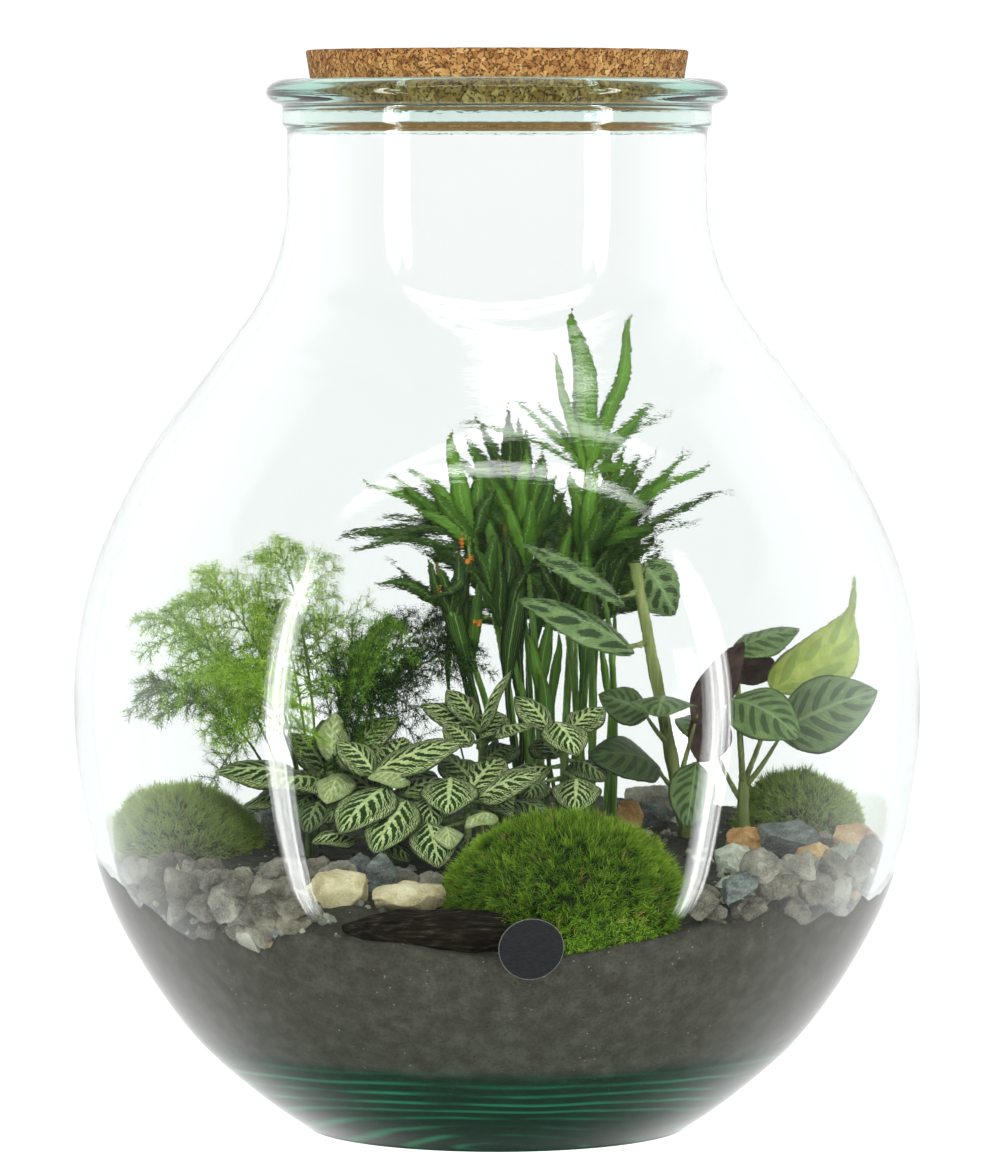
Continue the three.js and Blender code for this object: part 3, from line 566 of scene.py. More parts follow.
# %% Pressed cork
cork, tree, shader = finish("pressed_cork", Roughness=0.85, Specular_IOR_Level=0.25)
where = place_on(tree)
warped = mixed(tree, 0.25, where, clouds(tree, where, 0.8, 2.0, out="Color"), "ADD")
granule = put(tree, "ShaderNodeSeparateColor", {"Color": cells(tree, warped, 0.5, out="Color")})
tans = ramp(tree, granule, (0.0, "7f5427"), (0.25, "986a3a"), (0.6, "aa7d49"), (0.85, "b58a52"), (1, "c49b66"))
grain = clouds(tree, where, 1.3, 5.0, 0.7)
tans = mixed(tree, fade(tree, grain, 0.35, 0.7, 0.0, 0.45), tans, "8a5c33")
seam = fade(tree, cells(tree, warped, 0.5, "DISTANCE_TO_EDGE"), 0.0, 0.12, 1.0, 0.0)
seam = calc(tree, "MULTIPLY", seam, fade(tree, clouds(tree, where, 0.5, 2.0), 0.44, 0.58, 0.0, 0.9))
crumb = fade(tree, cells(tree, warped, 0.9), 0.24, 0.38, 1.0, 0.0)
crumb = calc(tree, "MULTIPLY", crumb, fade(tree, clouds(tree, where, 0.6, 2.0), 0.43, 0.52))
dark = calc(tree, "MAXIMUM", seam, crumb)
feed(tree, shader, Base_Color=mixed(tree, calc(tree, "MULTIPLY", dark, 0.9), tans, "3a2110"))
relief = calc(tree, "SUBTRACT", grain, calc(tree, "MULTIPLY", dark, 1.6))
dented(tree, shader, relief, 0.35)

CORK_LOW, CORK_TOP = 362.4, 381.2
CORK_MIDDLE, CORK_HALF = 371.8, 9.4
CORK_SIDES = 180
side = [(mix(64.6, 67.5, t), mix(CORK_LOW + 0.5, CORK_TOP - 0.5, t)) for t in np.linspace(0, 1, 15)]
top = [(66.8 * (1 - t), CORK_TOP) for t in np.linspace(0, 1, 20)]
base = [(63.9 * t, CORK_LOW) for t in np.linspace(0, 1, 7)]
points, faces = turned([*base, *side, *top], CORK_SIDES)
pitted = []
for p in points:
    spot = Vector(p)
    pit = max(0.0, 0.28 - noise.voronoi(spot * 0.42)[0][0]) * 1.6 + 0.25 * noise.noise(spot * 0.5)
    on_side = CORK_LOW + 0.4 < p[2] < CORK_TOP - 0.4
    inwards = Vector((-p[0], -p[1], 0)) / 67 if on_side else Vector((0, 0, CORK_MIDDLE - p[2])) / CORK_HALF
    pitted.append(spot + inwards * max(pit, 0))
stopper = Shape()
stopper.add(pitted, faces)
settle(stopper.made("cork_stopper", [cork]), "cork", "cork")

# %% [markdown]
# ## The label
#
# A round paper sticker, 22 mm across, is bent over the glass. A flat disc would lift at its edges, so every point of
# it is laid out along the wall's own curve. It is plain dark paper with a faint fibre and a paler cut edge.

# %% A plain round sticker
paper = grained_finish(
    "dark_label_paper", (0.6, 0.6, 3.0), 1.0, 5.0, 0.03, (0.3, "191a1b"), (0.6, "26282a"), (0.8, "303234"),
    Roughness=0.42, Specular_IOR_Level=0.4,
)
edge = grained_finish("cut_paper_edge", (1, 1, 1), 1.5, 3.0, 0, (0.3, "4a4b4a"), (0.7, "6d6e6b"), Roughness=0.8)

LABEL_AT, LABEL_TURN, LABEL_R, LABEL_SIDES = 79, math.radians(4.8), 11, 64
GLUE, PAPER_TOP = 0.3, 0.72  # how far the sticker's two faces lie off the glass
slope = (outer_radius(LABEL_AT + 3) - outer_radius(LABEL_AT - 3)) / 6
lean = math.hypot(1, slope)


def on_label(reach, angle, off):
    """A point of the sticker, reach from its middle, off the glass by off."""
    z = LABEL_AT + 1.08 * reach * math.sin(angle) / lean
    r = float(outer_radius(z)) + off
    turn = LABEL_TURN + reach * math.cos(angle) / float(outer_radius(LABEL_AT))
    return (r * math.sin(turn), -r * math.cos(turn), z)


angles = [2 * math.pi * k / LABEL_SIDES for k in range(LABEL_SIDES)]
under = [(r, GLUE) for r in (0, 3, 6, 9, LABEL_R)]
over = [(LABEL_R, PAPER_TOP - 0.1), *[(r, PAPER_TOP) for r in (LABEL_R - 0.25, 9, 6, 3, 0)]]
points, faces = skin([[on_label(r, a, off) for a in (angles if r else [0])] for r, off in under + over])
first = 1 + LABEL_SIDES * (len(under) - 2)  # the first point of the sticker's lower edge
label = Shape()
label.add(points, faces, kind=[int(first <= face[0] < first + 2 * LABEL_SIDES) for face in faces])
settle(label.made("round_label", [paper, edge]), "label", "label")

# %% [markdown]
# ## The soil
#
# The soil fills the jar from its thick floor to a gently mounded top that dips towards the front. Its side is what
# shows most. It is damp and wets the glass, so its skin lies just inside the inner wall: with air between them, the
# glass would mirror the white backdrop. Low down, thin teal rings are painted on it: painted lines of light, such as
# the green base shows. Its top is lumpy, and loose crumbs come after it as a piece of their own.

# %% The bed of soil
def soil_top(x, y):
    mound = 6 * math.exp(-(((x - 25) / 60) ** 2) - ((y - 30) / 50) ** 2)
    dip = 22 * math.exp(-(((x - 10) / 70) ** 2) - ((y + 150) / 50) ** 2)
    return 99 + 5 * y / 140 + mound - dip


def bed_top(x, y):
    """The soil's own top, which lies lower along the glass at both front corners, where rocks fill the gap."""
    turn = math.degrees(math.atan2(y, x))
    deep = 21 * math.exp(-(((turn + 136) / 20) ** 2)) + 13 * math.exp(-(((turn + 30) / 26) ** 2))
    deep *= 1 + 0.7 * bumpy((x, y, 3), 15, 2)
    inwards = max(0.0, float(inner_radius(soil_top(x, y))) - math.hypot(x, y))
    return soil_top(x, y) - deep * math.exp(-((inwards / 13) ** 2))


def rim_of_soil(angle):
    """The radius at which the soil's top meets the glass."""
    r = 130.0
    for _ in range(20):
        r = float(inner_radius(bed_top(r * math.cos(angle), r * math.sin(angle)))) - 0.5
    return r


wall = inner_wall[::-1]
run = np.concatenate([[0], np.cumsum(np.linalg.norm(np.diff(wall, axis=0), axis=1))])
SOIL_SIDES, SIDE_RINGS, TOP_RINGS = 200, 28, 52
WETTED = 0.25  # how far the soil reaches past the inner face of the glass
rims = [rim_of_soil(2 * math.pi * k / SOIL_SIDES) for k in range(SOIL_SIDES)]


def soil_side(k, s):
    """The point s of the way up the side. The damp soil wets the glass, with no air between."""
    angle = 2 * math.pi * k / SOIL_SIDES
    height = bed_top(rims[k] * math.cos(angle), rims[k] * math.sin(angle))
    at = s * np.interp(height, wall[:, 1], run)
    r, z = np.interp(at, run, wall[:, 0]), np.interp(at, run, wall[:, 1])
    steep = within((z - FLOOR_Z) / 30)  # the wall lies flat near the jar's floor
    r += WETTED * mix(0.3, 1, steep)
    return (r * math.cos(angle), r * math.sin(angle), z - WETTED * mix(1, 0.3, steep))


def soil_surface(k, f):
    angle = 2 * math.pi * k / SOIL_SIDES
    x, y = rims[k] * f * math.cos(angle), rims[k] * f * math.sin(angle)
    lumps = 1.3 * bumpy((x, y, 0), 9, 4)
    return (x, y, bed_top(x, y) + lumps * (1 - f**12))


sides = range(SOIL_SIDES)
rings_up = [[soil_side(k, s) for k in sides] for s in np.linspace(0, 1, SIDE_RINGS)]
rings_in = [[soil_surface(k, f) for k in sides] for f in np.linspace(0.985, 0.03, TOP_RINGS)]
soil_rings = [[(0, 0, FLOOR_Z - WETTED)], *rings_up, *rings_in, [(0, 0, soil_top(0, 0))]]
print("soil at the front glass, mm high:", round(rings_up[-1][150][2], 1))

# %% [markdown]
# Moist soil is a grey brown with pale specks and dark chips. Where it lies on the thick base, the dark green shade of
# the glass is painted onto it, up to a ragged edge that is lower in front, and painted rings of teal light run over it.

# %% Soil finish
soil, tree, shader = finish("potting_soil", Roughness=0.95, Specular_IOR_Level=0.2)
where = place_on(tree)
coarse = clouds(tree, where, 0.16, 5.0, 0.65)
fine = clouds(tree, where, 0.9, 5.0, 0.7)
earth = ramp(tree, coarse, (0.3, "3f3b32"), (0.48, "49463e"), (0.62, "535048"), (0.8, "605d52"))
earth = mixed(tree, fade(tree, fine, 0.4, 0.7, 0.0, 0.4), earth, "2a2721")
speck = fade(tree, cells(tree, where, 0.32), 0.07, 0.13, 1.0, 0.0)
speck = calc(tree, "MULTIPLY", speck, fade(tree, clouds(tree, where, 0.05, 2.0), 0.5, 0.62))
earth = mixed(tree, calc(tree, "MULTIPLY", speck, 0.75), earth, "a39a80")
chip = fade(tree, cells(tree, where, 0.21), 0.08, 0.14, 0.4, 0.0)
earth = mixed(tree, chip, earth, "26221c")
level = axis_of(tree, where, "Z")
reach = put(tree, "ShaderNodeVectorMath", {0: place_on(tree, (1, 1, 0))}, out="Value", operation="LENGTH")
drift = clouds(tree, place_on(tree, (0.012, 0.012, 0.03)), 1.0, 2.0)
down = calc(tree, "MULTIPLY_ADD", reach, 0.25, calc(tree, "MULTIPLY", drift, 5.0))
down = calc(tree, "MULTIPLY_ADD", level, 0.6, down)
# painted light: rings of teal light, as the thick base glass shows them, painted onto the soil
painted_light_rings = fade(tree, calc(tree, "PINGPONG", calc(tree, "MULTIPLY", down, 0.3), 0.5), 0.0, 0.26, 1.0, 0.0)
painted_light_rings = calc(tree, "MULTIPLY", painted_light_rings, fade(tree, clouds(tree, place_on(tree, (0.02, 0.02, 0.3)), 1.0, 3.0), 0.36, 0.6))
slant = calc(tree, "MULTIPLY_ADD", level.node.outputs["Y"], SLANT, level)
edge = calc(tree, "MULTIPLY_ADD", drift, 9.0, slant)
painted_light_rings = calc(tree, "MULTIPLY", painted_light_rings, fade(tree, edge, 37.0, 46.0, 1.0, 0.0))
# painted shade: the dark green of the thick base glass, painted onto the soil below the ragged edge
earth = mixed(tree, fade(tree, edge, 36.0, 49.0, 0.7, 0.0), earth, "203b30")
earth = mixed(tree, painted_light_rings, earth, "459a7c")
feed(tree, shader, Base_Color=earth)
dented(tree, shader, calc(tree, "ADD", fine, calc(tree, "MULTIPLY", coarse, 1.5)), 0.9)

bed = Shape()
bed.add(*skin(soil_rings))
settle(bed.made("bed_of_soil", [soil]), "soil", "soil")

# %% [markdown]
# ## Scattering
#
# Crumbs, gravel chips and moss shoots are the same job: a few small shapes, thrown thousands of times over a
# surface, each turned, tilted and sized by chance. One geometry tree does it. The surface carries a number called
# cover, from 0 to 1, which thins the shapes out where it is low, and each copy keeps a random shade for its finish.
# The tree ends by making the copies real, because loose instances don't survive an export.

# %% Helpers for geometry trees
def fresh_tree(name, inputs):
    tree = bpy.data.node_groups.new(name, "GeometryNodeTree")
    for title, kind in inputs.items():
        tree.interface.new_socket(title, in_out="INPUT", socket_type=f"NodeSocket{kind}")
    tree.interface.new_socket("Result", in_out="OUTPUT", socket_type="NodeSocketGeometry")
    return tree, tree.nodes.new("NodeGroupInput").outputs, tree.nodes.new("NodeGroupOutput").inputs[0]


def chance(tree, kind, low, high, seed):
    """A random FLOAT or FLOAT_VECTOR between low and high."""
    first, out = {"FLOAT_VECTOR": (0, 0), "FLOAT": (2, 1), "INT": (4, 2)}[kind]
    return put(tree, "FunctionNodeRandomValue", {first: low, first + 1: high, "Seed": seed}, out=out, data_type=kind)


def stored(tree, geometry, name, value, domain="INSTANCE"):
    sockets = {"Geometry": geometry, "Name": name, "Value": value}
    return put(tree, "GeometryNodeStoreNamedAttribute", sockets, data_type="FLOAT", domain=domain)


def named(tree, name):
    return put(tree, "GeometryNodeInputNamedAttribute", {"Name": name}, data_type="FLOAT")


def copies(tree, points, turn, given):
    """Copies of the shapes on points, picked and sized by chance, each with a random shade, and made real."""
    shapes = {"Collection": given["Shapes"], "Separate Children": True, "Reset Children": True}
    sockets = {
        "Points": points,
        "Instance": put(tree, "GeometryNodeCollectionInfo", shapes),
        "Pick Instance": True,
        "Instance Index": chance(tree, "INT", 0, 59, 12),
        "Rotation": turn,
        "Scale": chance(tree, "FLOAT", given["Smallest"], given["Largest"], 11),
    }
    made = put(tree, "GeometryNodeInstanceOnPoints", sockets)
    made = stored(tree, made, "shade", chance(tree, "FLOAT", 0.0, 1.0, 13))
    return put(tree, "GeometryNodeRealizeInstances", {"Geometry": made})


print("helpers for geometry trees ready")

# %% [markdown]
# The tree itself: points thrown over the surface, each with a turn and a tilt, copies on them, and their finish.

# %% The scatter tree
scatter, given, result = fresh_tree("scattered shapes", {
    "Surface": "Geometry", "Shapes": "Collection", "Density": "Float", "Smallest": "Float",
    "Largest": "Float", "Tilt": "Float", "Seed": "Int", "Finish": "Material",
})
density = calc(scatter, "MULTIPLY", named(scatter, "cover"), given["Density"])
thrown = {"Mesh": given["Surface"], "Density": density, "Seed": given["Seed"]}
points = put(scatter, "GeometryNodeDistributePointsOnFaces", thrown)
tilt = given["Tilt"]
back_tilt = calc(scatter, "MULTIPLY", tilt, -1.0)
low = put(scatter, "ShaderNodeCombineXYZ", {"X": back_tilt, "Y": back_tilt, "Z": -math.pi})
high = put(scatter, "ShaderNodeCombineXYZ", {"X": tilt, "Y": tilt, "Z": math.pi})
lean = put(scatter, "FunctionNodeEulerToRotation", {0: chance(scatter, "FLOAT_VECTOR", low, high, 14)})
turn = {"Rotation": points.node.outputs["Rotation"], "Rotate By": lean}
turn = put(scatter, "FunctionNodeRotateRotation", turn, rotation_space="LOCAL")
made = copies(scatter, points, turn, given)
made = put(scatter, "GeometryNodeSetMaterial", {"Geometry": made, "Material": given["Finish"]})
scatter.links.new(made, result)
print("nodes in the scatter tree:", len(scatter.nodes))

# %% [markdown]
# A modifier runs the tree on a surface, and its result is taken off as a plain mesh. What would reach into the glass
# is pressed back inside afterwards.

# %% From a surface to a finished mesh
def run_tree(tree, base, name, **settings):
    """The tree's result on base, as a plain mesh object. Base is used up."""
    modifier = base.modifiers.new(tree.name, "NODES")
    modifier.node_group = tree
    for socket in tree.interface.items_tree:
        if socket.in_out == "INPUT" and socket.name in settings:
            modifier[socket.identifier] = settings[socket.name]
    bpy.context.view_layer.update()
    depsgraph = bpy.context.evaluated_depsgraph_get()
    result = base.evaluated_get(depsgraph)
    mesh = bpy.data.meshes.new_from_object(result, preserve_all_data_layers=True, depsgraph=depsgraph)
    bpy.data.objects.remove(base)
    mesh.name = name
    return shown(name, mesh)


def held_inside(obj, gap=0.4):
    """Presses points that would reach into the glass back to the inner wall."""
    mesh = obj.data
    co = np.empty(len(mesh.vertices) * 3)
    mesh.vertices.foreach_get("co", co)
    co = co.reshape(-1, 3) / MM
    r = np.hypot(co[:, 0], co[:, 1])
    most = inner_radius(co[:, 2]) - gap
    co[:, :2] *= np.minimum(1, most / np.maximum(r, 1e-6))[:, None]
    mesh.vertices.foreach_set("co", (co * MM).ravel())
    mesh.update()


def scattered(name, ground, shapes, density, sizes, tilt, seed, material, gap=0.4):
    """Shapes thrown over the ground, density to a square metre, as one mesh that stays inside the glass."""
    made = run_tree(
        scatter, ground, name, Shapes=shapes, Density=density, Smallest=sizes[0], Largest=sizes[1], Tilt=tilt,
        Seed=seed, Finish=material,
    )
    held_inside(made, gap)
    return made


def surface(rings, cover):
    """A bare skin to scatter on, whose cover is a function of each point."""
    points, faces = skin(rings)
    return shown("surface", mesh_of("surface", points, faces, cover=[within(cover(*p)) for p in points]))


def collection_of(name, objects):
    """The shapes to copy, kept out of the scene."""
    group = bpy.data.collections.new(name)
    for obj in objects:
        scene.collection.objects.unlink(obj)
        group.objects.link(obj)
    return group


def cleared(group):
    for obj in list(group.objects):
        bpy.data.objects.remove(obj)
    bpy.data.collections.remove(group)


print("ready to scatter")

# %% [markdown]
# ## Stones and bark
#
# The stones of the gravel are angular pebbles of limestone, granite and slate. Each is grown from its own solid:
# the edges are worn with a bevel, every face is split, and the points are moved by coarse and fine noise. That keeps
# each stone in its pocket of the soil. Each colour has its own finish with grain, bands and pale dust.

# %% Finishes of the stones
def stone_finish(name, darkest, dark, light, lightest, grain=0.35, bands=0.0):
    material, tree, shader = finish(name, Roughness=0.82, Specular_IOR_Level=0.35)
    where = place_on(tree)
    broad = clouds(tree, where, 0.09, 5.0, 0.62)
    if bands:
        layers = clouds(tree, place_on(tree, (0.25, 0.12, 1.0)), 0.55, 3.0)
        broad = put(tree, "ShaderNodeMix", {0: bands, 2: broad, 3: layers}, data_type="FLOAT")
    colour = ramp(tree, broad, (0.3, darkest), (0.46, dark), (0.58, light), (0.76, lightest))
    pitting = clouds(tree, where, grain * 3, 6.0, 0.7)
    colour = mixed(tree, fade(tree, pitting, 0.5, 0.72, 0.0, 0.5), colour, darkest)
    dust = calc(tree, "MULTIPLY", fade(tree, cells(tree, where, 0.5), 0.1, 0.2, 1.0, 0.0), 0.35)
    colour = mixed(tree, dust, colour, lightest)
    seams = cells(tree, clouds(tree, where, 0.25, 3.0, out="Color"), 7.0, "DISTANCE_TO_EDGE")
    colour = mixed(tree, fade(tree, seams, 0.0, 0.05, 0.55, 0.0), colour, lightest)
    feed(tree, shader, Base_Color=colour)
    dented(tree, shader, calc(tree, "ADD", pitting, broad), 0.5)
    return material


stones = {
    "beige": stone_finish("beige_limestone", "a08b66", "ccb98f", "e4d5b0", "f3ead2"),
    "grey": stone_finish("grey_granite", "57514a", "857d74", "a59c90", "ccc4b6", grain=0.5),
    "slate": stone_finish("grey_slate", "373a3b", "5e6262", "7f8380", "b0b2a9", bands=0.6),
    "tan": stone_finish("tan_sandstone", "8a6038", "b78650", "cfa371", "e4cba2"),
    "pale": stone_finish("pale_quartz", "8a8a7c", "afaf9f", "cbcbbb", "ecebdf"),
    "damp": stone_finish("damp_stone", "3a342d", "5e564c", "7f766a", "aea596", grain=0.5),
}
bark = grained_finish(
    "dark_bark", (0.12, 0.7, 1.1), 0.9, 6.0, 2.4, (0.3, "100d0a"), (0.5, "231d17"), (0.62, "3d352b"),
    (0.76, "766b5c"), rough=0.65, Roughness=0.95, Specular_IOR_Level=0.08,
)
print("stone finishes:", ", ".join(stones), "and bark")

# %% [markdown]
# Broken stone has flat faces with worn edges and small hollows where chips came off. A bevel wears the edges, and
# cells of a Voronoi pattern leave creases where two chips meet. Edges that are still steep stay sharp.

# %% Stones weathered from their solids
def weathered(node, name, material, stretch=(1, 1, 1)):
    """The solid's form with worn edges and a rough face."""
    low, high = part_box(node)
    size = (high - low).length / MM / 3**0.5
    bm = bmesh.new()
    bm.from_mesh(frame["nodes"][node].data)
    bmesh.ops.scale(bm, vec=(1 / MM,) * 3, verts=bm.verts)
    bmesh.ops.remove_doubles(bm, verts=bm.verts, dist=0.05)
    bmesh.ops.dissolve_limit(bm, angle_limit=math.radians(4), verts=bm.verts, edges=bm.edges)
    bmesh.ops.bevel(bm, geom=bm.edges[:], offset=size * 0.03, segments=1, affect="EDGES", clamp_overlap=True)
    bmesh.ops.remove_doubles(bm, verts=bm.verts, dist=0.05)
    bmesh.ops.triangulate(bm, faces=bm.faces)
    for _ in range(5):
        long = [e for e in bm.edges if e.calc_length() > max(1.1, size * 0.08)]
        if not long or len(bm.verts) > 520:
            break
        bmesh.ops.subdivide_edges(bm, edges=long, cuts=1)
        bmesh.ops.triangulate(bm, faces=bm.faces)
    bm.normal_update()
    for v in bm.verts:
        at = Vector([c * s for c, s in zip(v.co, stretch)])
        near, second = noise.voronoi(at / (size * 0.24))[0][:2]
        crease = max(0.0, 0.22 - (second - near)) * 2.2  # chips meet in creases
        rough = 0.5 * bumpy(at, size * 0.3, 3) + 0.4 * bumpy(at, 1.7, 3) - crease
        v.co += v.normal * min(rough, 0.35) * min(1.0, size / 14)
    bmesh.ops.recalc_face_normals(bm, faces=bm.faces)
    for edge in bm.edges:
        edge.smooth = edge.calc_face_angle(0) < math.radians(30)
    bmesh.ops.scale(bm, vec=(MM,) * 3, verts=bm.verts)
    mesh = bpy.data.meshes.new(name)
    bm.to_mesh(mesh)
    bm.free()
    mesh.materials.append(material)
    mesh.polygons.foreach_set("use_smooth", [True] * len(mesh.polygons))
    obj = shown(name, mesh)
    held_inside(obj)
    return obj


for row in frame["record"]["subparts"]:
    node, slot = row["node"], row["material_slot"]
    if node.startswith("stone_"):
        material = stones[slot.removeprefix("stone_")]
        settle(weathered(node, node.replace("stone", "pebble"), material), slot, node)
settle(weathered("bark_piece", "flat_bark", bark, (0.15, 1, 1)), "bark", "bark_piece")

# %% [markdown]
# ## Fine gravel and crumbs
#
# Between the stones lie chips of the same stone, 2 to 6 mm across, and crumbs of soil lie over the whole bed. Both
# are hulls round a few points, 13 for a chip and 8 for a crumb, that lie unevenly far out from the middle.

# %% Small hulls
GOLDEN_TURN = 2.39996  # from one point of a spiral over a ball to the next, in radians


def on_ball(k, count, turn):
    """The k-th of count places that are spread evenly over a ball."""
    z = 1 - 2 * (k + 0.5) / count
    a = k * GOLDEN_TURN + turn
    r = math.sqrt(1 - z * z)
    return math.cos(a) * r, math.sin(a) * r, z


def hulls(count, corners, seed):
    made = []
    for n in range(count):
        bm = bmesh.new()
        for k in range(corners):
            x, y, z = on_ball(k, corners, seed + n)
            out = mix(0.62, 1, vary(seed + n, k))
            bm.verts.new(Vector((x, y * 0.82, z * 0.8)) * out * 0.5 * MM)
        found = bmesh.ops.convex_hull(bm, input=bm.verts)
        bmesh.ops.delete(bm, geom=found["geom_interior"], context="VERTS")
        bmesh.ops.recalc_face_normals(bm, faces=bm.faces)
        mesh = bpy.data.meshes.new(f"hull_{n}")
        bm.to_mesh(mesh)
        bm.free()
        made.append(shown(mesh.name, mesh))
    return made


def shaded_finish(name, *stops, roughness=0.85, speckle=0.35):
    """Each copy takes its own colour from its shade, with a little grain."""
    material, tree, shader = finish(name, Roughness=roughness, Specular_IOR_Level=0.3)
    colour = ramp(tree, trait(tree, "shade"), *stops)
    grain = clouds(tree, place_on(tree), 1.1, 4.0, 0.7)
    feed(tree, shader, Base_Color=mixed(tree, fade(tree, grain, 0.4, 0.75, 0.0, speckle), colour, "37332b"))
    dented(tree, shader, grain, 0.3)
    return material


gravel = shaded_finish(
    "mixed_gravel", (0, "43443f"), (0.3, "71726a"), (0.55, "908f83"), (0.78, "b0ad9c"), (0.9, "a5835f"), (1, "cfcdc2")
)
crumbs = shaded_finish(
    "soil_crumbs", (0, "27221c"), (0.45, "4a443a"), (0.8, "655d50"), (0.93, "7e7766"), (1, "c4bda6")
)
print("finishes:", gravel.name, "and", crumbs.name)

# %% [markdown]
# Gravel collects round the larger stones, so its cover falls with the distance to the nearest one.

# %% Gravel among the stones
resting = [(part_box(n)[0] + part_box(n)[1]) / 2 / MM for n in frame["nodes"] if n.startswith("stone_")]


def near_stones(x, y, z):
    nearest = min(math.hypot(x - s.x, y - s.y) for s in resting)
    return 1.25 - nearest / 20


chips = collection_of("chips", hulls(8, 13, 3))
ground = surface([*rings_up[-7:], *rings_in, soil_rings[-1]], near_stones)
settle(scattered("fine_gravel", ground, chips, 34000.0, (1.6, 6.2), 1.4, 5, gravel), "stone_grey")
cleared(chips)

# %% [markdown]
# Crumbs are the same for the soil itself: smaller, darker, and all over its top.

# %% Crumbs over the bed
specks = collection_of("specks", hulls(6, 8, 21))
ground = surface([*rings_up[-2:], *rings_in, soil_rings[-1]], lambda x, y, z: 1.0)
settle(scattered("loose_crumbs", ground, specks, 27000.0, (0.6, 2.4), 1.5, 8, crumbs), "soil")
cleared(specks)

# %% [markdown]
# ## Rocks against the glass
#
# At both front corners rough stones fill a gap between the soil and the glass, so they show through it below the
# soil's top. Each is a ball cut flat by eleven planes, which is how stone splits, then roughened. The ones against
# the glass are laid as in the photograph. Smaller ones lie on the slope of soil behind them, and a few dark
# ones behind the beige stones.

# %% Split stones
ROCKS = [
    # angle round the jar in degrees, height of its middle, half its width
    (-160, 92, 7), (-152, 91, 8), (-144, 95, 7.5), (-148, 84, 7), (-139, 88, 8.5), (-133, 91, 8), (-127, 88, 9),
    (-121, 84, 7.5), (-125, 76, 7), (-133, 78, 8), (-140, 79, 7), (-154, 84, 6), (-158, 98, 6.5), (-131, 98, 7),
    (-121, 92, 7), (-148, 100, 7), (-118, 77, 5.5), (-129, 71, 5.5), (-136, 98, 6), (-145, 89, 6), (-128, 82, 6.5),
    (-155, 98, 6), (-53, 98, 7.5), (-44, 96, 8.5), (-35, 94, 8.5), (-24, 97, 8), (-12, 98, 7.5), (-39, 86, 7.5),
    (-29, 88, 7.5), (-17, 90, 7.5), (-50, 88, 7.5), (-49, 104, 7), (-59, 92, 6.5), (-2, 94, 6.5), (-32, 101, 7),
    (-45, 82, 6), (-22, 82, 6), (-56, 84, 6), (-40, 103, 6.5), (-18, 103, 6.5), (-8, 89, 6), (-34, 80, 5.5),
]
BEHIND = [
    # x, y and half width
    (-68, -84, 7), (-55, -80, 7.5), (-41, -76, 8.5), (-31, -78, 6), (-23, -74, 5.5), (-48, -70, 7), (-62, -74, 7),
]
SLOPES = ((-162, -119, 34), (-60, 0, 38))  # from one angle to another, and how many smaller stones lie there
PLANES = 11
ROCK_SCALE = 0.86  # leaves a little room between neighbours


def split_stone(seed, middle, size):
    """Points and faces of a ball cut by planes, rough on its faces."""
    bm = bmesh.new()
    bmesh.ops.create_icosphere(bm, subdivisions=4 if size > 5.6 else 3, radius=1)
    planes = [
        (Vector(on_ball(k, PLANES, 5 * vary(seed, k))), mix(0.48, 0.88, vary(seed + 5, k))) for k in range(PLANES)
    ]
    grow = Vector([mix(0.8, 1.2, vary(seed + 9, k)) for k in range(3)])
    points = []
    for v in bm.verts:
        out = min([1.05, *(depth / v.co.dot(n) for n, depth in planes if v.co.dot(n) > 0.05)])
        rough = 0.07 * bumpy(v.co * size + middle, size * 0.6, 4) + 0.06 * bumpy(v.co * size + middle, 2.2, 3)
        points.append(middle + v.co * grow * (size * (out + rough)))
    faces = [[v.index for v in face.verts] for face in bm.faces]
    bm.free()
    return points, faces


rocks = Shape()
for n, (angle, z, size) in enumerate(ROCKS):
    size *= ROCK_SCALE
    r = float(inner_radius(z)) - size * 0.72
    turn = math.radians(angle)
    damp = vary(n, 3) < mix(1, 0.5, within((z - 80) / 18))  # all of them are, low down in the soil
    kind = 0 if damp else 1 + int(vary(n, 4) > 0.7)
    rocks.add(*split_stone(n, Vector((r * math.cos(turn), r * math.sin(turn), z)), size), kind=kind)
for start, end, count in SLOPES:
    for n in range(count):
        turn = math.radians(mix(start, end, (n + vary(n, 1)) / count))
        size = mix(3.6, 6.4, vary(n, 2))
        r = float(inner_radius(86)) - mix(5, 18, vary(n, 6))
        x, y = r * math.cos(turn), r * math.sin(turn)
        rocks.add(*split_stone(n + 70, Vector((x, y, bed_top(x, y) + size * 0.35)), size), kind=int(vary(n, 5) > 0.6))
for n, (x, y, size) in enumerate(BEHIND):
    rocks.add(*split_stone(n + 140, Vector((x, y, bed_top(x, y) + size * 0.2)), size), kind=n % 3)
rocks = rocks.made("rocks_at_the_glass", [stones["damp"], stones["grey"], stones["slate"]], smooth=False)
held_inside(rocks, 0.3)
settle(rocks, "stone_grey")
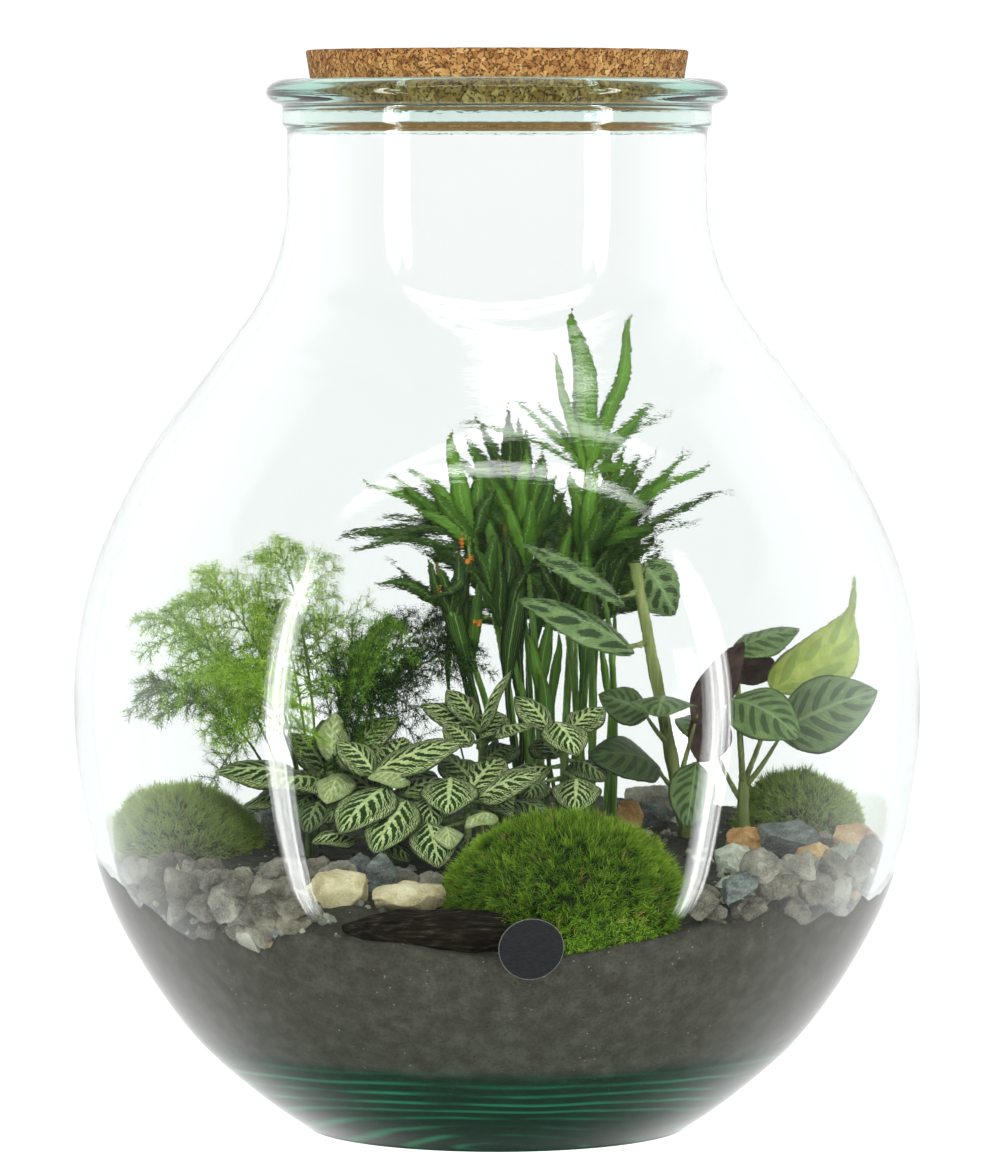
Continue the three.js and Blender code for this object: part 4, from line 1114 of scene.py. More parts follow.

# %% [markdown]
# ## Moss
#
# A cushion of moss is a tight dome of thousands of upright shoots, each a small star of pointed leaves, darker deep
# down and lime green at the tips. Hair particles would be quick, but they don't survive an export. So five
# little stars of flat spikes are modelled once, and the scatter tree sets them over a lumpy dome. Every spike keeps
# how high it reaches, which the finish turns into the change from dark to bright: partly the shoots' own darker
# foot, partly painted shade deep in the cushion.

# %% Moss finish
moss, tree, shader = finish("cushion_moss", Roughness=0.7, Specular_IOR_Level=0.06)
height = trait(tree, "rise")
patches = clouds(tree, place_on(tree), 0.07, 3.0)
# partly painted shade: both ramps run from near black at a spike's foot, deep in the cushion, to lime at its tip
deep = ramp(tree, height, (0.0, "0d1404"), (0.35, "30450b"), (0.7, "68901c"), (1, "a6c63e"))
bright = ramp(tree, height, (0.0, "161f05"), (0.35, "425e10"), (0.7, "88ab2b"), (1, "c8dc5c"))
toned = mixed(tree, fade(tree, patches, 0.35, 0.65), deep, bright)
toned = mixed(tree, fade(tree, trait(tree, "shade"), 0.0, 1.0, 0.35, 0.0), toned, "3c5418")
# painted light: shoots far out to the left and right are mixed towards a pale green, most at their tips
painted_side_light = axis_of(tree, place_on(tree), "X")
painted_side_light = calc(tree, "MULTIPLY", fade(tree, calc(tree, "ABSOLUTE", painted_side_light), 66.0, 96.0), height)
toned = mixed(tree, calc(tree, "MULTIPLY", painted_side_light, 0.85), toned, "bccb74")  # painted light on the outer cushions
dry = calc(tree, "GREATER_THAN", trait(tree, "shade"), 0.965)
feed(tree, shader, Base_Color=mixed(tree, calc(tree, "MULTIPLY", dry, 0.7), toned, "a08048"))

# partly painted shade: the core under the shoots is very dark, for their own dark stems and for the shade between them
moss_core_and_shade = grained_finish(
    "moss_base", (1, 1, 1), 0.8, 4.0, 0.8, (0.3, "12160a"), (0.55, "232d10"), (0.8, "3b4a1a"), Roughness=0.95
)
print("finishes:", moss.name, "and", moss_core_and_shade.name)

# %% [markdown]
# One shoot is a star of seven spikes, each a thin three-sided blade with a closed back, so no face is seen from
# behind. The middle one stands upright and the others lean out. Five different stars are enough once they are turned.

# %% A star of moss leaves
SPIKE_FACES = ((0, 2, 1), (0, 1, 3), (1, 2, 3), (2, 0, 3))
LEAVES_IN_STAR = 7


def spike(turn, spread, length, half_width, depth, foot=(0, 0, 0)):
    """The corners of a three-sided blade on foot, turned about Z and leaning out by spread."""
    foot = np.array(foot, float)
    out = np.array([math.cos(turn) * math.sin(spread), math.sin(turn) * math.sin(spread), math.cos(spread)])
    side = np.array([-math.sin(turn), math.cos(turn), 0])
    thick = np.cross(side, out)
    return [foot - side * half_width, foot + side * half_width, foot - thick * depth, foot + out * length]


def spiky(name, spikes, **traits):
    """A mesh of spikes, four corners and four faces to each."""
    faces = [[4 * k + c for c in face] for k in range(len(spikes) // 4) for face in SPIKE_FACES]
    return shown(name, mesh_of(name, spikes, faces, **traits))


def star(n):
    """A shoot: flat spikes round a short upright axis."""
    spikes = []
    for k in range(LEAVES_IN_STAR):
        turn = 2 * math.pi * (k / (LEAVES_IN_STAR - 1) + 0.08 * vary(n, k))
        upright = k == LEAVES_IN_STAR - 1
        spread = 0.1 if upright else math.radians(mix(14, 48, vary(n + 3, k)))
        length = 4.3 if upright else mix(2.7, 3.9, vary(n + 7, k))
        spikes += spike(turn, spread, length, 0.24, 0.18, (0, 0, mix(-0.8, 1.1, vary(n + 11, k))))
    return spiky(f"star_{n}", spikes, rise=[within((z + 0.5) / 4.6) for _, _, z in spikes])


stars = collection_of("stars", [star(n) for n in range(5)])

# %% [markdown]
# The three cushions differ in place, size and slant only, so one dome makes them all. Its lumps are the ones of the
# living cushion: swells of 12 mm with knobs of 4 to 5 mm on them.

# %% Three cushions
CUSHIONS = [
    # name, middle, half widths, height of its top and of its waist, slant, shoots to a square millimetre, seed
    ("left", (-113, 4), (27, 34), 118, 94, 0, 0.66, 2),
    ("right", (113, 36), (25, 28), 121, 97, 0.2, 0.66, 3),
    ("front", (24, -94), (41, 35), 118, 83, 0, 0.7, 4),
]


def dome(middle, half, top, waist, slant, shrink=0.0):
    """Rings of the cushion from its sunken foot to its top, lumpy as the living one."""
    (x, y), (a, b) = middle, half
    rings = []
    for level in np.radians([-26, -12, 0, 10, 20, 30, 40, 50, 59, 68, 76, 84]):
        ring = []
        for k in range(48):
            turn = 2 * math.pi * k / 48
            out = math.cos(level) * (1 + 0.05 * math.sin(3 * turn + x))
            p = (x + a * out * math.cos(turn), y + b * out * math.sin(turn))
            z = waist + (top - waist) * math.sin(level) - slant * max(0, p[0] - x + 8)
            lump = 2.3 * bumpy((*p, z), 12, 2) + 0.9 * bumpy((*p, z), 4.5, 2) - shrink
            ring.append((p[0] + lump * math.cos(turn) * 0.6, p[1] + lump * math.sin(turn) * 0.6, z + lump * 0.8))
        rings.append(ring)
    return [*rings, [(x, y, top - shrink)]]


def above_soil(x, y, z):
    return float(z > soil_top(x, y) - 2.5)


for name, *form, density, seed in CUSHIONS:
    core = Shape()
    rings = dome(*form, shrink=0.6)
    core.add(*skin([[(*form[0], rings[0][0][2])], *rings]))
    core = core.made(f"moss_{name}_base", [moss_core_and_shade])
    held_inside(core, 1.0)
    settle(core, "moss")
    ground = surface(dome(*form), above_soil)
    shoots = scattered(f"moss_{name}_shoots", ground, stars, density / MM**2, (0.6, 1.32), 0.5, seed, moss, 0.3)
    settle(shoots, "moss", f"moss_{name}")
cleared(stars)

# %% [markdown]
# ## Leaves
#
# The broad leaves are thin closed skins of two faces. Each one is laid out from base to tip, as the plant
# holds it in the photograph, with an arch along its rib and edges that droop or fold. The same few lines make the
# narrow leaflets of the palm, with another outline.

# %% One leaf
def broad(t):
    return math.sin(math.pi * t**0.85) ** 0.8


def lance(t):
    return math.sin(math.pi * t**0.72) ** 0.9


def tailed(t):
    """A broad body and a narrow drawn-out end."""
    return max(math.sin(math.pi * min(1, t / 0.8) ** 0.8) ** 0.85, 0.15 * math.sin(math.pi * t) ** 0.3)


def arch_of(base, tip, up, arch):
    """The leaf's directions, and the point t along its rib."""
    along = tip - base
    side = unit(np.cross(along, up))
    face = unit(np.cross(side, along))
    return side, face, lambda t: base + along * t + face * (4 * arch * t * (1 - t))


def add_leaf(
    shape, base, tip, up, width, arch, cup, rows=16, half=5, thick=0.35, outline=broad, relief=None, sway=0, wave=0,
    **kept,
):
    base, tip = np.array(base, float), np.array(tip, float)
    side, face, straight = arch_of(base, tip, np.array(up, float), arch)

    def rib(t):
        return straight(t) + side * (sway * math.sin(math.pi * t**1.2) + wave * math.sin(2.6 * math.pi * t) * t)

    spread = [j / half for j in range(-half, half + 1)]
    points = [base]
    for i in range(1, rows):
        t = i / rows
        full = outline(t)
        upper, lower = [], []
        for a in spread:
            lift = -cup * abs(a) ** 1.5 * full + (relief(t, a) * full if relief else 0)
            p = rib(t) + side * (a * width / 2 * full) + face * lift
            upper.append(p + face * (thick / 2) * (1 - abs(a)))
            if abs(a) < 1:
                lower.append(p - face * thick / 2)
        points += upper + lower
    points.append(tip)
    wide, ring = len(spread), 2 * len(spread) - 2

    def index(i, j, below):
        """The point in row i and column j, on the upper face or below it."""
        if i in (0, rows):
            return 0 if i == 0 else len(points) - 1
        inner = below and 0 < j < wide - 1
        return 1 + (i - 1) * ring + (wide + j - 1 if inner else j)

    faces, maps = [], []
    for i in range(rows):
        for j in range(wide - 1):
            for below in (0, 1):
                corners = [(i, j), (i, j + 1), (i + 1, j + 1), (i + 1, j)]
                if i == 0:
                    corners = [(0, j + 0.5), (1, j + 1), (1, j)]
                elif i == rows - 1:
                    corners = [(i, j), (i, j + 1), (rows, j + 0.5)]
                if below:
                    corners.reverse()
                faces.append([index(r, c, below) for r, c in corners])
                maps.append([(0.5 * below + c / (wide - 1) / 2, r / rows) for r, c in corners])
    shape.add(points, faces, maps, **kept)


print("outlines of leaves: broad, lance and tailed")

# %% [markdown]
# Stems rise out of the soil along one bend. Leaves join them at a height, or leave them in pairs on both hands.

# %% Stems
def stem_path(foot, bend, end, steps):
    """Straight up out of the soil, then along a bend to the end."""
    start, bend, end = np.array([*foot, soil_top(*foot) + 4]), np.array(bend, float), np.array(end, float)

    def curve(t):
        return start * (1 - t) ** 2 + bend * (2 * t * (1 - t)) + end * t**2

    return curve, [np.array([*foot, soil_top(*foot) - 12]), *[curve(t) for t in np.linspace(0, 1, steps + 1)]]


def pairs_along(curve, seed, pairs, bare):
    """Where side growth leaves a curve: its number, its hand, how far up from 0 to 1, its place and the way there."""
    for k in range(pairs):
        for hand in (-1, 1):
            spot = (k + (0.5 if hand > 0 else 0)) / (pairs - 0.5)
            t = mix(bare, 0.985, spot)
            number = seed * 40 + k * 2 + (hand + 1) // 2
            yield number, hand, spot, curve(t), unit(curve(t + 0.01) - curve(t - 0.01))


def at_height(path, z):
    """The point of a rising path at height z."""
    k = max(1, next((i for i, p in enumerate(path) if p[2] >= z), len(path) - 1))
    low, high = path[k - 1], path[k]
    return low + (high - low) * (z - low[2]) / (high[2] - low[2])


print("stem tools ready")

# %% [markdown]
# What is drawn on a leaf follows its flat map. Side veins are straight lines on it that lean towards the tip, and the
# distance to the nearest one comes from folding a rising number to and fro.

# %% Veins on the flat map
def leaf_map(tree):
    """From a leaf's flat map: how far along it, across it from -1 to 1, out from its rib, and 1 on its underside."""
    u = axis_of(tree, put(tree, "ShaderNodeTexCoord", out="UV"), "X")
    under = calc(tree, "GREATER_THAN", u, 0.5)
    across = calc(tree, "SUBTRACT", calc(tree, "MULTIPLY_ADD", u, 4.0, -1.0), calc(tree, "MULTIPLY", under, 2.0))
    return u.node.outputs["Y"], across, calc(tree, "ABSOLUTE", across), under


def side_veins(tree, along, across, reach, pairs, lean, bend=1.25, stagger=0.0):
    """How far from the nearest side vein, 0 on it and 1 midway. Veins leave the rib and run out towards the tip."""
    run = calc(tree, "MULTIPLY", calc(tree, "POWER", reach, bend), lean)
    phase = calc(tree, "MULTIPLY", calc(tree, "SUBTRACT", along, run), float(pairs))
    if stagger:
        phase = calc(tree, "MULTIPLY_ADD", calc(tree, "GREATER_THAN", across, 0.0), stagger, phase)
    return calc(tree, "MULTIPLY", calc(tree, "PINGPONG", phase, 0.5), 2.0)


def warped_along(tree, along, where, scale, detail, amount):
    """The way along a leaf, shifted here and there, so that its veins aren't ruled lines."""
    shift = calc(tree, "MULTIPLY_ADD", clouds(tree, where, scale, detail), amount, -amount / 2)
    return calc(tree, "ADD", along, shift)


print("vein tools ready")

# %% [markdown]
# ## The nerve plant
#
# Its small leaves are dark green with a wide feathery net of cream veins, about half the leaf. The net is drawn on
# the leaf's flat map: a rib, and pairs of side veins that lean towards the tip. Folding the distance from a vein at a
# moving point parts it in two, and folding it twice more makes a net. The veins press furrows into the blade.

# %% Nerve plant finish
nerve, tree, shader = finish(
    "nerve_plant_leaf", Roughness=0.5, Specular_IOR_Level=0.2,
    Subsurface_Weight=0.05, Subsurface_Radius=(0.0006, 0.001, 0.0004),
)
along, across, reach, under = leaf_map(tree)
tone = trait(tree, "tone")
where = place_on(tree)
along_warped = warped_along(tree, along, where, 0.32, 3.0, 0.13)


def forked(tree, off, reach, start, spread):
    """Every vein parts in two at start, and its arms draw apart towards the margin."""
    apart = calc(tree, "MULTIPLY", calc(tree, "MAXIMUM", calc(tree, "SUBTRACT", reach, start), 0.0), spread)
    return calc(tree, "ABSOLUTE", calc(tree, "SUBTRACT", off, apart))


off = side_veins(tree, along_warped, across, reach, 6.6, 0.4, stagger=0.45)
for start, spread in ((0.14, 0.95), (0.38, 0.75), (0.64, 0.6)):
    off = forked(tree, off, reach, start, spread)
barbs = calc(tree, "MULTIPLY_ADD", along_warped, 5.0, calc(tree, "MULTIPLY", reach, 6.5))
barbs = calc(tree, "MULTIPLY_ADD", calc(tree, "PINGPONG", barbs, 0.5), 1.7, 0.6)
width = calc(tree, "MULTIPLY", fade(tree, reach, 0.03, 0.6, 0.38, 0.085), barbs)
ribs = fade(tree, calc(tree, "SUBTRACT", off, width), -0.04, 0.04, 1.0, 0.0)
middle = calc(tree, "SUBTRACT", reach, calc(tree, "MULTIPLY_ADD", along, -0.07, 0.11))
middle = fade(tree, middle, -0.03, 0.03, 1.0, 0.0)
veins = calc(tree, "MAXIMUM", ribs, middle)
veins = calc(tree, "MULTIPLY", veins, fade(tree, reach, 0.86, 0.97, 1.0, 0.12))
veins = calc(tree, "MAXIMUM", veins, fade(tree, tone, 0.84, 0.9, 0.0, 0.6))
mottle = clouds(tree, where, 0.5, 3.0)
green = ramp(tree, mottle, (0.35, "182a0d"), (0.55, "274315"), (0.75, "3b5b20"))
cream = ramp(tree, mottle, (0.35, "afbd78"), (0.55, "c9d498"), (0.75, "dee6b8"))
upper = mixed(tree, veins, green, cream)
# painted shade: leaves of low tone, the inner ones most, are darkened
upper = mixed(tree, fade(tree, tone, 0.0, 0.5, 0.62, 0.0), upper, "24391a")
lower = mixed(tree, calc(tree, "MULTIPLY", veins, 0.5), "55703c", "95a673")
feed(tree, shader, Base_Color=mixed(tree, under, upper, lower))
dented(tree, shader, calc(tree, "MULTIPLY_ADD", veins, -1.0, calc(tree, "MULTIPLY", mottle, 0.3)), 0.35)

stalk = grained_finish(
    "green_stalk", (1, 1, 0.12), 0.5, 3.0, 0.2, (0.3, "4c6430"), (0.5, "6f8646"), (0.72, "93a468"),
    Roughness=0.5, Specular_IOR_Level=0.4,
)
print("finishes:", nerve.name, "and", stalk.name)

# %% [markdown]
# The leaves lie flat and overlap like tiles, so a rule would not give their pattern. Each is laid out from its base
# to its tip. The ones listed last on each stem fill the inside of the clump and are painted dark, as painted shade.

# %% Nerve plant leaves as they lie
NERVE_STEMS = [
    # foot, top of the stem, leaves as (base, tip, width); the last ones of each are inner leaves painted dark as shade
    ((-66, -22), (-62, -20, 127), [
        ((-68, -22, 126), (-99, -24, 128), 19), ((-61, -25, 125), (-79, -42, 125), 19),
        ((-58, -18, 130), (-57, -15, 148), 12), ((-50, -18, 134), (-35, -6, 146), 15),
        ((-54, -28, 128), (-59, -44, 119), 14), ((-67, -20, 121), (-90, -12, 115), 16),
        ((-52, -24, 128), (-54, -18, 137), 8), ((-60, -34, 120), (-66, -46, 109), 15),
        ((-58, -14, 124), (-46, -6, 136), 15), ((-60, -14, 126), (-74, -8, 140), 16),
        ((-54, -10, 128), (-62, 0, 144), 16), ((-70, -16, 118), (-84, -26, 118), 15),
        ((-60, -26, 121), (-77, -20, 126), 17), ((-62, -24, 120), (-70, -38, 116), 15),
    ]),
    ((-36, -40), (-38, -38, 127), [
        ((-43, -38, 129), (-11, -34, 139), 19), ((-38, -44, 125), (-54, -64, 111), 21),
        ((-31, -48, 121), (-42, -72, 105), 19), ((-43, -37, 128), (-56, -32, 139), 16),
        ((-38, -33, 126), (-33, -14, 139), 17), ((-34, -38, 121), (-16, -28, 125), 16),
        ((-30, -42, 126), (-45, -46, 128), 11), ((-48, -50, 107), (-64, -56, 107), 12),
        ((-25, -44, 121), (-22, -56, 112), 15), ((-46, -40, 118), (-60, -48, 113), 15),
        ((-38, -24, 130), (-48, -12, 137), 15), ((-40, -52, 108), (-30, -64, 101), 14),
        ((-42, -30, 121), (-58, -20, 126), 17), ((-34, -28, 121), (-22, -16, 127), 17),
        ((-42, -20, 122), (-36, -4, 129), 17), ((-28, -34, 114), (-14, -28, 118), 16),
    ]),
    ((-10, -44), (-11, -44, 124), [
        ((-16, -42, 128), (-17, -60, 117), 20), ((-7, -47, 121), (16, -50, 130), 19),
        ((-10, -40, 122), (2, -20, 132), 17), ((-24, -54, 114), (-20, -74, 100), 17),
        ((-16, -43, 120), (-33, -47, 112), 15), ((-6, -43, 119), (12, -36, 116), 15),
        ((0, -56, 116), (-11, -66, 113), 9), ((-18, -56, 112), (-16, -70, 106), 11),
        ((-8, -32, 124), (-20, -22, 132), 15), ((4, -38, 119), (20, -42, 112), 15),
        ((-12, -54, 107), (-2, -62, 104), 14),
    ]),
    ((-6, -8), (-5, -9, 141), [
        ((-6, -10, 140), (5, -13, 163), 14), ((-8, -8, 141), (-27, -4, 150), 16),
        ((-2, -11, 139), (12, -26, 143), 16), ((-8, -8, 143), (-18, -2, 155), 13),
        ((-5, -6, 138), (0, 12, 146), 15), ((-9, -20, 136), (-19, -14, 143), 12),
        ((-6, -18, 135), (-1, -26, 141), 8), ((-4, -14, 130), (8, -8, 134), 14),
        ((-10, -12, 128), (-22, -20, 131), 15),
    ]),
    ((24, -14), (22, -16, 142), [
        ((20, -18, 145), (28, -32, 134), 17), ((28, -24, 126), (27, -44, 116), 17),
        ((25, -14, 140), (38, -6, 149), 15), ((18, -14, 141), (6, -8, 153), 14),
        ((19, -15, 128), (3, -16, 124), 15), ((21, -12, 131), (14, -2, 137), 14),
        ((26, -12, 130), (38, -20, 124), 15), ((16, -22, 124), (10, -34, 118), 14),
    ]),
]
PALE_LEAVES = {(0, 2), (0, 4), (0, 6), (1, 6), (2, 6), (2, 7)}  # (stem, leaf) whose net covers nearly all
# painted shade: the inner leaves take a dark tone
SHADED_INNER_LEAVES = (7, 9, 8, 7, 5)  # from this leaf on, each stem's leaves are dark inner ones
PAINTED_SHADE_TONE, PALE_TONE = 0.04, 0.95


def nerve_relief(seed):
    """Blades puff up between their side veins, and their edges wave."""
    def relief(t, a):
        puff = 0.22 * math.cos(2 * math.pi * (t - 0.3 * abs(a) ** 1.25) * 6.5) * (1 - a * a)
        return puff + 0.5 * math.sin(9 * t + seed) * abs(a) ** 4
    return relief


plant = Shape()
for n, (foot, top, leaves) in enumerate(NERVE_STEMS):
    bend = (*foot, mix(soil_top(*foot), top[2], 0.7))
    _, path = stem_path(foot, bend, top, 10)
    plant.add(*tube(path, np.linspace(1.5, 1.1, len(path)), 8), kind=1)
    for k, (base, tip, width) in enumerate(leaves):
        base, tip = np.array(base, float), np.array(tip, float)
        away = unit(np.array([*(tip - base)[:2], 0]))
        rise = (tip - base)[2] / np.linalg.norm(tip - base)
        up = np.array([0, 0, 1]) + away * (0.35 - rise) + np.array([0, -0.45, 0])
        arch = 2.2 + vary(k, 5)
        tone = mix(0.35, 0.8, vary(n * 9 + k, 2)) if k < SHADED_INNER_LEAVES[n] else PAINTED_SHADE_TONE
        tone = PALE_TONE if (n, k) in PALE_LEAVES else tone
        _, _, rib = arch_of(base, tip, up, arch)
        start = at_height(path, min(top[2] - 1, base[2] + 1))
        plant.add(*tube([start, mix(start, rib(0.1), 0.5), rib(0.1)], (0.9, 0.75, 0.4), 6), kind=1)
        relief = nerve_relief(n * 7 + k)
        add_leaf(plant, base, tip, up, width * 1.06, arch, 2.0, rows=18, half=6, relief=relief, tone=tone)
plant = plant.made("nerve_plant", [nerve, stalk])
settle(plant, "nerve_leaf", "nerve_plant_1", "nerve_plant_2", "nerve_plant_3", "nerve_plant_4")

# %% [markdown]
# ## The prayer plant
#
# Its leaves are silver green with pairs of dark ovals that follow the side veins, like a painted feather, and their
# undersides are a dull plum. Both come from the leaf's flat map. The ovals are ellipses in a grid that leans with the
# veins: short on the tall crown, long streaks on the low leaves. One young leaf is still yellow green and curled.

# %% Prayer plant finish
prayer, tree, shader = finish(
    "prayer_plant_leaf", Roughness=0.42, Specular_IOR_Level=0.25,
    Subsurface_Weight=0.05, Subsurface_Radius=(0.0008, 0.001, 0.0005),
)
along, across, reach, under = leaf_map(tree)
tone = trait(tree, "tone")
where = place_on(tree)
along_warped = warped_along(tree, along, where, 0.16, 2.0, 0.05)
PATCH_LEAN, VEIN_BEND = 0.3, 1.35
ovals = fade(tree, tone, 0.56, 0.58)  # 1 on leaves with short ovals, 0 on those with long streaks
run = calc(tree, "MULTIPLY", calc(tree, "POWER", reach, VEIN_BEND), PATCH_LEAN)
phase = calc(tree, "MULTIPLY", calc(tree, "SUBTRACT", along_warped, run), calc(tree, "MULTIPLY_ADD", ovals, -1.6, 6.2))
phase = calc(tree, "MULTIPLY_ADD", calc(tree, "GREATER_THAN", across, 0.0), 0.3, phase)
in_cell = calc(tree, "SUBTRACT", calc(tree, "FRACT", phase), 0.5)
odd = calc(tree, "MULTIPLY", calc(tree, "MODULO", calc(tree, "FLOOR", phase), 2.0), 0.12)
half_length = calc(tree, "SUBTRACT", calc(tree, "MULTIPLY_ADD", ovals, -0.06, 0.42), odd)
long_way = calc(tree, "DIVIDE", calc(tree, "SUBTRACT", reach, 0.42), half_length)
wide_way = calc(tree, "DIVIDE", in_cell, calc(tree, "MULTIPLY_ADD", ovals, 0.06, 0.27))
oval = calc(tree, "ADD", calc(tree, "POWER", long_way, 2.0), calc(tree, "POWER", wide_way, 2.0))
feather = calc(tree, "MULTIPLY", calc(tree, "SUBTRACT", clouds(tree, where, 0.9, 3.0), 0.5), 0.9)
dark = fade(tree, calc(tree, "ADD", oval, feather), 0.7, 1.3, 1.0, 0.0)
rib_line = fade(tree, reach, 0.03, 0.06, 0.8, 0.0)
fine_veins = side_veins(tree, along_warped, across, reach, 26, PATCH_LEAN, VEIN_BEND)
fine_veins = fade(tree, fine_veins, 0.1, 0.5, 0.4, 0.0)
silver = ramp(tree, clouds(tree, where, 0.22, 3.0), (0.3, "627a4a"), (0.55, "7d945e"), (0.78, "96aa74"))
silver = mixed(tree, fine_veins, silver, "526d45")
upper = mixed(tree, calc(tree, "MULTIPLY", dark, calc(tree, "MULTIPLY_ADD", ovals, 0.17, 0.72)), silver, "24391c")
upper = mixed(tree, fade(tree, reach, 0.88, 1.0, 0.0, 0.6), upper, "34502a")
upper = mixed(tree, rib_line, upper, "93a97a")
young = ramp(tree, clouds(tree, where, 0.15, 3.0), (0.3, "98a648"), (0.6, "b4be62"), (0.8, "c8ce84"))
young = mixed(tree, calc(tree, "MULTIPLY", dark, 0.55), young, "738c3a")
upper = mixed(tree, calc(tree, "MULTIPLY_ADD", ovals, -0.24, 0.24), upper, "3f4a2c")
upper = mixed(tree, fade(tree, tone, 0.85, 0.92), upper, young)
# painted shade: leaves of low tone, those in shadow, are darkened
upper = mixed(tree, fade(tree, tone, 0.0, 0.4, 0.68, 0.0), upper, "202c18")
plum = ramp(tree, clouds(tree, where, 0.25, 4.0), (0.3, "382a28"), (0.55, "503c38"), (0.8, "6d554e"))
pale_under = mixed(tree, fade(tree, tone, 0.85, 0.92), plum, "98a65c")
feed(tree, shader, Base_Color=mixed(tree, under, upper, pale_under))
dented(tree, shader, calc(tree, "MULTIPLY_ADD", fine_veins, -1.0, calc(tree, "MULTIPLY", dark, 0.15)), 0.3)

thick_stem = grained_finish(
    "pale_green_stem", (1, 1, 0.08), 0.4, 3.0, 0.25, (0.3, "5c6636"), (0.5, "767f45"), (0.72, "979c62"),
    Roughness=0.5, Specular_IOR_Level=0.4,
)
print("finishes:", prayer.name, "and", thick_stem.name)

# %% [markdown]
# Two crowns stand in the jar: a tall one on a thick jointed stem and a low one at the right. The tone of a leaf says
# how it is marked: low tones are painted dark, as shade on leaves that lie in shadow, middle ones streaked, high ones
# oval, and the highest is the young leaf.

# %% Prayer plant crowns
CROWNS = {
    "prayer_plant_tall": (((67, 8), (62, 9, 129), (49, 11, 199)), 2.5, [
        # height on the stem, base, tip, width, the way that its face looks, arch, tone
        (190, (46, 7, 184), (8, -4, 206), 14, (0.3, -0.6, 1), 4, 0.6),
        (172, (49, 3, 168), (7, -14, 188), 17, (0.2, -0.9, 1), 4, 0.62),
        (196, (52, 15, 199), (64, 25, 180), 18, (0.2, -1, 0.3), 2, 0.6),
        (138, (60, -2, 151), (56, -36, 148), 24, (0, -0.4, 1), 4, 0.45),
        (134, (54, 3, 145), (36, 3, 153), 15, (0.2, -1, 0.6), 2, 0.2),
        (118, (58, -3, 127), (32, -16, 132), 23, (-0.1, -0.8, 1), 4, 0.05),
        (112, (70, -20, 131), (66, -34, 110), 16, (0, -1, 0.2), 2, 0.3),
        (120, (70, 4, 142), (88, 6, 172), 20, (-0.5, 0.8, 0.6), 3, 0.3),
        (116, (72, 8, 128), (80, 14, 150), 18, (-0.3, 0.9, 0.3), 2, 0.2),
    ]),
    "prayer_plant_right": (((88, 2), (87, 2, 112), (88, 3, 124)), 2.4, [
        (121, (82, -8, 152), (106, -22, 139), 23, (0.2, -0.9, 0.6), 5, 0.5),
        (119, (84, 20, 166), (109, 25, 175), 17, (0.1, -0.5, 1), 3, 0.4),
        (122, (98, 13, 153), (129, 18, 195), 25, (-0.4, -1, 0.4), -3, 0.97),
        (120, (99, -1, 139), (135, -6, 155), 29, (-0.1, -1, 0.7), 3, 0.48),
        (115, (78, 28, 132), (70, 58, 140), 20, (0, 0.3, 1), 4, 0.4),
        (118, (84, 24, 162), (102, 30, 159), 16, (0, 0.8, 0.5), 2, 0.3),
    ]),
}
YOUNG_TONE = 0.9  # from this tone on, a leaf is the young one


def waved(seed):
    def relief(t, a):
        ribs = 0.12 * math.cos(2 * math.pi * (t - 0.24 * abs(a) ** 1.4) * 10)
        return ribs * (1 - a * a) + 0.9 * math.sin(7 * t + seed) * abs(a) ** 3
    return relief


for name, ((foot, bend, end), radius, leaves) in CROWNS.items():
    crown = Shape()
    _, path = stem_path(foot, bend, end, 16)
    # the stem thickens at its joints
    radii = [radius * mix(1, 0.8, i / 17) * (1.16 if i % 5 == 2 else 1) for i in range(len(path))]
    crown.add(*tube(path, radii, 12), kind=1)
    for k, (height, base, tip, width, up, arch, tone) in enumerate(leaves):
        base, tip = np.array(base, float), np.array(tip, float)
        _, _, rib = arch_of(base, tip, up, arch)
        start, join = at_height(path, height), rib(0.1)
        sag = np.array([0, 0, -0.06 * np.linalg.norm(join - start)])
        bow = [start * (1 - t) + join * t + sag * 4 * t * (1 - t) for t in np.linspace(0, 1, 8)]
        crown.add(*tube(bow, np.linspace(1.2, 0.5, 8), 8), kind=1)
        young = {"outline": tailed, "sway": 8} if tone > YOUNG_TONE else {}
        add_leaf(crown, base, tip, up, width * 1.04, arch, 2.5, rows=24, half=8, relief=waved(k), tone=tone, **young)
    settle(crown.made(name.replace("prayer_plant", "prayer_crown"), [prayer, thick_stem]), "prayer_leaf", name)

# %% [markdown]
# ## The palm
#
# A parlour palm grows as a clump of thin canes with narrow pointed leaflets. Those in front are laid out as
# in the photograph: each cane ends in a head from which its leaflets fan out. The canes behind follow a rule, two
# ranks of leaflets shared out along the upper part of the stalk, that close up towards its end. Between the canes
# stand long narrow blades. Fine parallel veins and a fold in the middle make the leaflets palm.

# %% Palm finish
palm_leaf, tree, shader = finish(
    "palm_leaflet", Roughness=0.45, Specular_IOR_Level=0.2,
    Subsurface_Weight=0.08, Subsurface_Radius=(0.0006, 0.0012, 0.0003),
)
along, across, reach, under = leaf_map(tree)
tone = trait(tree, "tone")
where = place_on(tree)
lines = calc(tree, "PINGPONG", calc(tree, "MULTIPLY", reach, 5.0), 0.5)
lines = fade(tree, lines, 0.0, 0.3, 0.35, 0.0)
blotch = clouds(tree, where, 0.07, 4.0)
